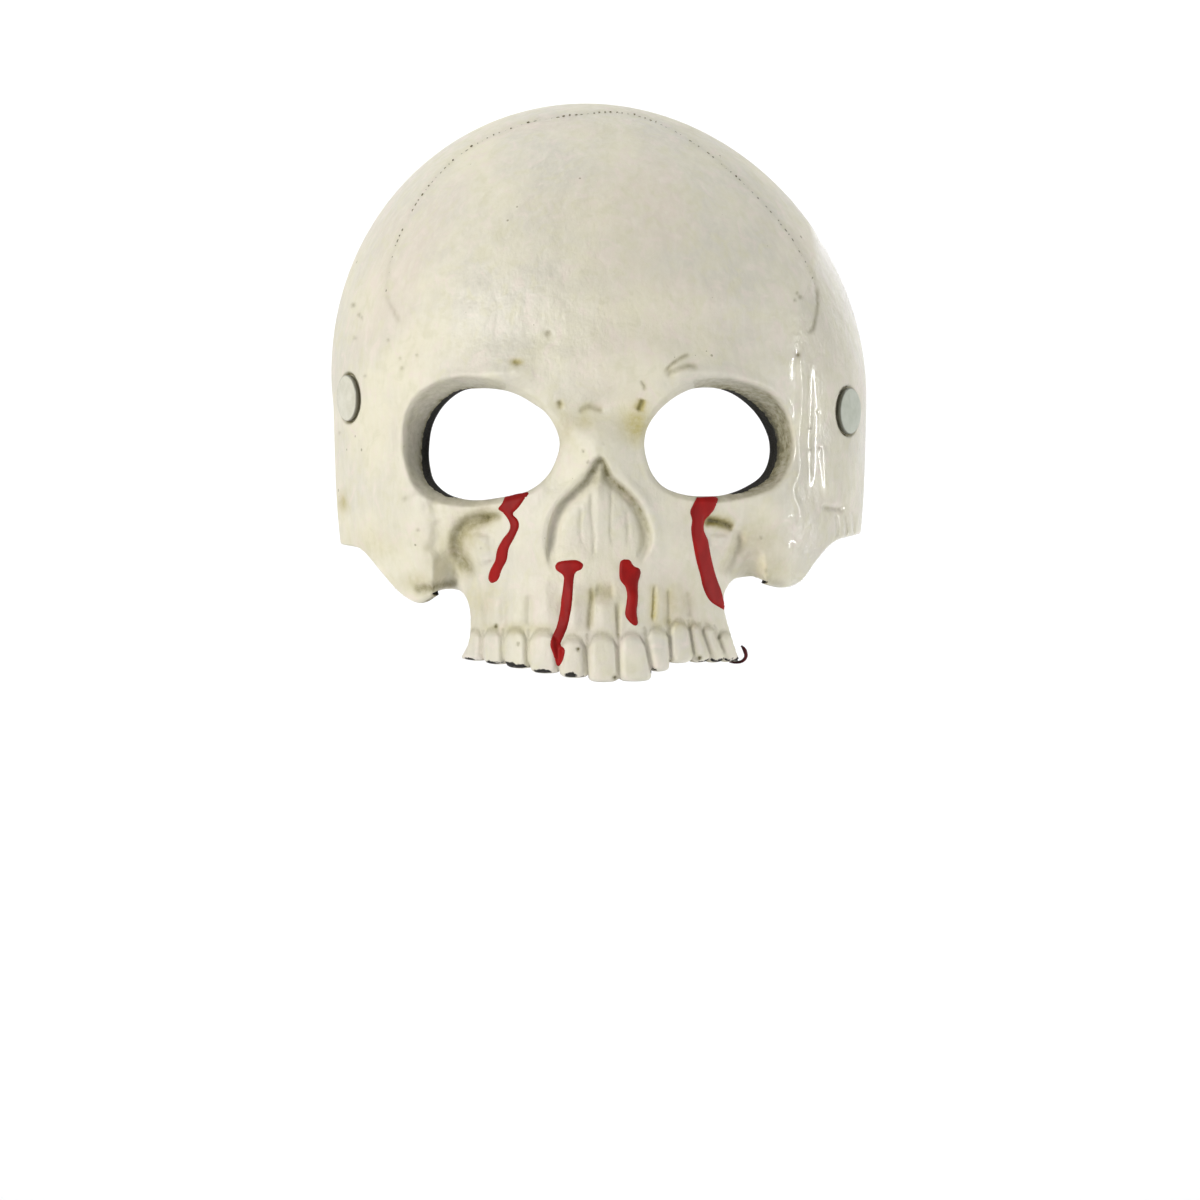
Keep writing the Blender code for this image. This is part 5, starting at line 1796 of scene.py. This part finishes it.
@dataclass(frozen=True)
class Rivet:
    """A strap rivet: a domed painted head in its seat, a shank, and a dark cap inside the shell."""

    seat: RivetSeat
    strap_depth: float
    head_thick: float = 1.4 * MM
    crown: float = 0.4 * MM
    shank: float = 4.0 * MM
    cap: float = 11.0 * MM
    cap_thick: float = 1.5 * MM
    strap_thick: float = 1.4 * MM
    gap: float = 0.3 * MM
    steps: int = 72

    def turned(self, name: str, profile: Path, material: Material) -> Piece:
        """A round piece turned from a profile of radius and height round the rivet's axis.

        Args:
            name: The piece's name.
            profile: Radius and height, from the middle out and back in.
            material: Its finish.

        Returns:
            The piece.
        """
        frame = self.seat.frame()
        angles = np.arange(self.steps) * 2 * math.pi / self.steps
        verts, rims, faces = [], [], []
        for radius, height in profile:
            rims.append(len(verts))
            ring = angles if radius > 0 else angles[:1]
            verts += [frame @ Vector((radius * math.cos(a), radius * math.sin(a), height)) for a in ring]
        rows = list(zip(rims, profile))
        for (start, (near, _)), (end, (far, _)) in zip(rows, rows[1:]):
            for step in range(self.steps):
                after = (step + 1) % self.steps
                corners = [start + step, start + after] if near > 0 else [start]
                corners += [end + after, end + step] if far > 0 else [end]
                faces.append(corners)
        return new_piece(name, verts, faces, [material])

    def build_head(self, material: Material) -> Piece:
        """Makes the head and the shank, with painted shade at the head's rim.

        Args:
            material: Its finish.

        Returns:
            The head.
        """
        foot = -(self.strap_depth + 0.5 * self.strap_thick + self.gap)
        base = -self.seat.depth + self.gap
        top = base + self.head_thick
        half = 0.5 * self.seat.head
        shares = (0.0, 0.2, 0.4, 0.6, 0.75, 0.86)
        dome = [(half * share, top + self.crown * (1 - share**2)) for share in shares]
        lip = 0.45 * MM
        turn = [(half - lip + lip * math.sin(a), top - lip + lip * math.cos(a)) for a in QUARTER_TURN]
        half_shank = 0.5 * self.shank
        profile = [*dome, *turn, (half, base), (half_shank, base), (half_shank, foot), (0.0, foot)]
        name = self.seat.side.name.lower()
        obj = self.turned(f"rivet_{name}_painted", profile, material)
        places = np.array([vert.co[:] for vert in obj.data.vertices])
        # Painted shade at the head's rim, in the gap to its seat.
        wash = 0.8 * smooth_step(half - 0.5 * MM, half + 0.01 * MM, self.seat.distance(places))
        obj.data.attributes.new("wash", "FLOAT", "POINT").data.foreach_set("value", wash.astype(np.float32))
        return obj

    def build_cap(self, material: Material) -> Piece:
        """Makes the cap that closes the rivet behind the strap.

        Args:
            material: Its finish.

        Returns:
            The cap.
        """
        top = -(self.strap_depth + 0.5 * self.strap_thick + 2 * self.gap)
        low = top - self.cap_thick
        half = 0.5 * self.cap
        lip = 0.6 * MM
        turn = [(half - lip + lip * math.cos(a), low + lip - lip * math.sin(a)) for a in QUARTER_TURN]
        dimple = [(0.45 * half, low), (0.32 * half, low + 0.35 * MM), (0.0, low + 0.4 * MM)]
        profile = [(0.0, top), (half, top), *turn, *dimple]
        return self.turned(f"rivet_cap_{self.seat.side.name.lower()}_lacquered", profile, material)


@dataclass(frozen=True)
class HeadStrap:
    """The elastic strap: from one rivet along the wall, round behind the head and to the other rivet."""

    form: MaskForm
    seats: tuple[RivetSeat, RivetSeat]
    width: float = 16.0 * MM
    thick: float = 1.4 * MM
    rise: float = 30.0 * MM
    end: float = 9.0 * MM
    head_half_width: float = 0.080
    head_rear: float = 0.098
    wall_gap: float = 0.7 * MM
    cords: int = 12
    rib: float = 0.10 * MM
    around: tuple[tuple[float, float, float], ...] = (
        # back, out, rise
        (0.10, 1.04, 0.10),
        (0.34, 1.02, 0.38),
        (0.62, 0.95, 0.76),
        (0.84, 0.76, 0.96),
        (0.96, 0.42, 1.00),
    )

    @property
    def depth(self) -> float:
        """How far below the outer surface the strap's middle lies at a rivet."""
        return self.form.wall + self.wall_gap + 0.5 * self.thick

    def along_wall(self, seat: RivetSeat) -> list[Points]:
        """Stations from the strap's riveted end to the shell's back edge.

        Args:
            seat: The seat of the rivet at that end.

        Returns:
            The stations.
        """
        places = []
        for ahead in np.linspace(-self.end, 1.5 * self.end, 6):
            pattern = seat.pattern + np.array([[seat.side.value * ahead, 0.0]])
            places.append(self.form.surface(pattern)[0] - self.depth * self.form.normal(pattern)[0])
        return places

    def middle_line(self) -> Points:
        """The strap's middle line, from the left end to the right.

        Returns:
            The line's points.
        """
        left, right = (self.along_wall(seat) for seat in self.seats)
        start = min(left[-1][1], right[-1][1])
        level = 0.5 * (left[-1][2] + right[-1][2])
        line = list(left)
        for side, rows in ((Side.LEFT, self.around), (Side.RIGHT, self.around[::-1])):
            for back, out, rise in rows:
                reach = start + back * (self.head_rear - start)
                place = [side.value * out * self.head_half_width, reach, level + rise * self.rise]
                line.append(np.array(place))
            if side is Side.LEFT:
                line.append(np.array([0.0, self.head_rear, level + self.rise]))
        return smooth_line([*line, *right[::-1]], 0.002)

    def section(self) -> list[tuple[float, float]]:
        """The band's cross section: out and up, once round, with a low rib over each rubber cord.

        Returns:
            The section's corners.
        """
        half, edge = 0.5 * self.width, 0.5 * self.thick
        count = 6 * self.cords
        ups = [half - edge - 2 * (half - edge) * step / count for step in range(count + 1)]
        waves = [math.cos(2 * math.pi * self.cords * step / count) for step in range(count + 1)]
        face = [(edge + self.rib * (wave - 1) * 0.5, up) for wave, up in zip(waves, ups)]
        turn = [(edge * math.cos(a), edge * math.sin(a)) for a in np.linspace(0, math.pi, 7)[1:-1]]
        lower = [(out, -(half - edge) - up) for out, up in turn]
        upper = [(-out, (half - edge) + up) for out, up in turn]
        return [*face, *lower, *((-out, -up) for out, up in face), *upper]

    def build(self, material: Material) -> Piece:
        """Lofts the band along its middle line and gives it coordinates across and along.

        Args:
            material: The elastic.

        Returns:
            The strap.
        """
        line = self.middle_line()
        section = self.section()
        gone = np.concatenate([[0.0], np.cumsum(np.linalg.norm(np.diff(line, axis=0), axis=1))])
        verts, band = [], []
        for index, middle in enumerate(line):
            run = Vector(line[min(index + 1, len(line) - 1)] - line[max(index - 1, 0)]).normalized()
            out = run.cross(Vector((0.0, 0.0, 1.0))).normalized()
            out = -out if out.dot(Vector((middle[0], middle[1], 0.0))) < 0 else out
            up = out.cross(run).normalized()
            up = -up if up.z < 0 else up
            verts += [Vector(middle) + out * across + up * high for across, high in section]
            band += [(high, gone[index]) for _, high in section]
        faces = lofted(len(line), len(section))
        obj = new_piece("head_strap_elastic", verts, faces, [material])
        layer = obj.data.uv_layers.new(name="band")
        for loop in obj.data.loops:
            layer.data[loop.index].uv = band[loop.vertex_index]
        return obj


@dataclass(frozen=True)
class PaintThread:
    """A thin curl of red paint that hangs at the last tooth."""

    form: MaskForm
    path: Path = (
        (45.2, -78.6), (46.2, -79.9), (46.7, -81.5), (46.4, -82.7),
        (45.2, -83.7), (43.2, -84.0), (41.4, -83.7),
    )
    tooth: tuple[float, float] = (44.0, -80.0)
    radius: float = 0.75 * MM
    sides: int = 10

    def build(self, material: Material) -> Piece:
        """Makes the curl as a thin tapered tube at the tooth's depth.

        Args:
            material: The dried paint.

        Returns:
            The curl.
        """
        line = smooth_line(self.path, 0.35) * MM
        drawing = self.form.dome.drawing
        ahead = self.form.surface(self.form.dome.pattern_of(np.array([self.tooth]) * MM))[0][1]
        scale = (ahead + drawing.depth + drawing.distance) / drawing.distance
        level = drawing.height
        places = [Vector((x * scale, ahead, level + (z - level) * scale)) for x, z in line]
        forward = Vector((0.0, 1.0, 0.0))
        verts = []
        for index, place in enumerate(places):
            run = (places[min(index + 1, len(places) - 1)] - places[max(index - 1, 0)]).normalized()
            side = run.cross(forward).normalized()
            share = index / (len(places) - 1)
            radius = self.radius * (1 - 0.55 * share) * min(1.0, math.sqrt(max(share, 0.04) / 0.2))
            for step in range(self.sides):
                angle = 2 * math.pi * step / self.sides
                verts.append(place + radius * (side * math.cos(angle) + forward * math.sin(angle)))
        faces = lofted(len(places), self.sides)
        return new_piece("paint_thread", verts, faces, [material])


@dataclass(frozen=True)
class SoftLight:
    """A soft box: where it stands, what it looks at, its size, power and colour."""

    name: str
    place: tuple[float, float, float]
    width: float
    height: float
    watts: float
    colour: str = "#ffffff"
    target: tuple[float, float, float] = (0.0, -0.05, 0.0)

    def build(self) -> None:
        """Puts the light into the scene."""
        light = bpy.data.lights.new(self.name, "AREA")
        light.shape = "RECTANGLE"
        light.size, light.size_y = self.width, self.height
        light.energy = self.watts
        light.color = linear(self.colour)[:3]
        obj = linked(self.name, light)
        obj.location = self.place
        obj.rotation_euler = (Vector(self.target) - Vector(self.place)).to_track_quat("-Z", "Y").to_euler()


@dataclass(frozen=True)
class Studio:
    """The camera at the photograph's angle, a white paper sweep and soft light from the upper left."""

    drawing: FrontDrawing
    frame_width: float = 0.384
    sensor: float = 36.0
    floor: float = -0.60
    back: float = 1.6
    sweep: float = 0.8
    top: float = 5.0
    reach: float = 6.0
    surroundings: str = "#f4f5f8"
    glow: float = 0.20
    lights: tuple[SoftLight, ...] = (
        SoftLight("key_left", (-1.20, -1.25, 0.40), 0.6, 0.6, 20.0, "#fffdfa"),
        SoftLight("fill_right", (1.6, -1.5, 0.1), 1.2, 1.2, 5.2, "#f8f8fa"),
        SoftLight("strip_right", (1.15, -0.17, 0.00), 0.06, 0.9, 5.0),
        SoftLight("paper", (0.0, 0.35, 1.3), 2.4, 0.8, 26.0, "#ffffff", (0.0, 2.2, 0.0)),
    )

    def camera(self) -> None:
        """Sets the camera: straight ahead, level, at the height of the picture's middle."""
        camera = bpy.data.cameras.new("camera")
        camera.sensor_width = self.sensor
        camera.lens = self.sensor * self.drawing.distance / self.frame_width
        obj = linked("camera", camera)
        obj.location = self.drawing.eye
        obj.rotation_euler = (0.5 * math.pi, 0.0, 0.0)
        bpy.context.scene.camera = obj

    def paper(self) -> None:
        """Lays the paper: a floor that turns up behind in one curve."""
        turn = [(math.sin(angle), 1 - math.cos(angle)) for angle in np.linspace(0.0, 0.5 * math.pi, 13)]
        rows = [(-self.reach, self.floor)]
        start = self.back - self.sweep
        rows += [(start + self.sweep * out, self.floor + self.sweep * up) for out, up in turn]
        rows.append((self.back, self.top))
        verts = [(x, y, z) for y, z in rows for x in (-self.reach, self.reach)]
        faces = [(2 * row, 2 * row + 1, 2 * row + 3, 2 * row + 2) for row in range(len(rows) - 1)]
        mesh = bpy.data.meshes.new("paper")
        mesh.from_pydata(verts, [], faces)
        mesh.shade_smooth()
        mesh.materials.append(Backdrop().material())
        linked("paper", mesh)

    def build(self) -> None:
        """Sets up camera, paper, lights and the pale surroundings."""
        self.camera()
        self.paper()
        for light in self.lights:
            light.build()
        world = bpy.data.worlds.new("surroundings")
        world.use_nodes = True
        background = world.node_tree.nodes["Background"]
        background.inputs["Color"].default_value = linear(self.surroundings)
        background.inputs["Strength"].default_value = self.glow
        bpy.context.scene.world = world
        bpy.context.scene.view_settings.view_transform = "Standard"


def main() -> None:
    """Dresses the frame piece by piece and sets the studio round it."""
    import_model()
    form = MaskForm(Dome(FrontDrawing()))
    seats = (RivetSeat(form, Side.LEFT, -0.876, 0.006), RivetSeat(form, Side.RIGHT, 0.866, -0.035))
    paint, foam, red = PaintedFoam().material(), BareFoam().material(), RunPaint().material()
    shell = MaskShell(form, seats)
    mount(shell.build(paint, foam), Slot.BONE, "mask_shell")
    for name, outline in RUNS.items():
        mount(PaintRun(shell, name, outline).build(red), Slot.RED)
    maroon = RunPaint("dried_maroon_paint", "#5c1a1f", "#331012").material()
    mount(PaintThread(form).build(maroon), Slot.RED)
    # The pricks' dark colour is wash and painted shade in the pricked holes.
    pricks = RivetPaint("dark_wash_in_pricks", "#85805f", "#5f5a40").material()
    mount(Suture(form).build(pricks), Slot.BONE)
    strap = HeadStrap(form, seats)
    mount(strap.build(WovenElastic().material()), Slot.ELASTIC, "head_strap")
    finishes = {
        Side.LEFT: RivetPaint("ivory_paint_on_rivet", "#e2e0d0", "#d3d1be"),
        Side.RIGHT: RivetPaint("grey_green_paint_on_rivet", "#c9cdbf", "#bcc1b1"),
    }
    lacquer = CapLacquer().material()
    for seat in seats:
        rivet = Rivet(seat, strap.depth)
        word = seat.side.name.lower()
        mount(rivet.build_head(finishes[seat.side].material()), Slot.RIVET, f"rivet_{word}")
        mount(rivet.build_cap(lacquer), Slot.CAP, f"rivet_cap_{word}")
    Studio(form.dome.drawing).build()


if __name__ == "__main__":
    main()
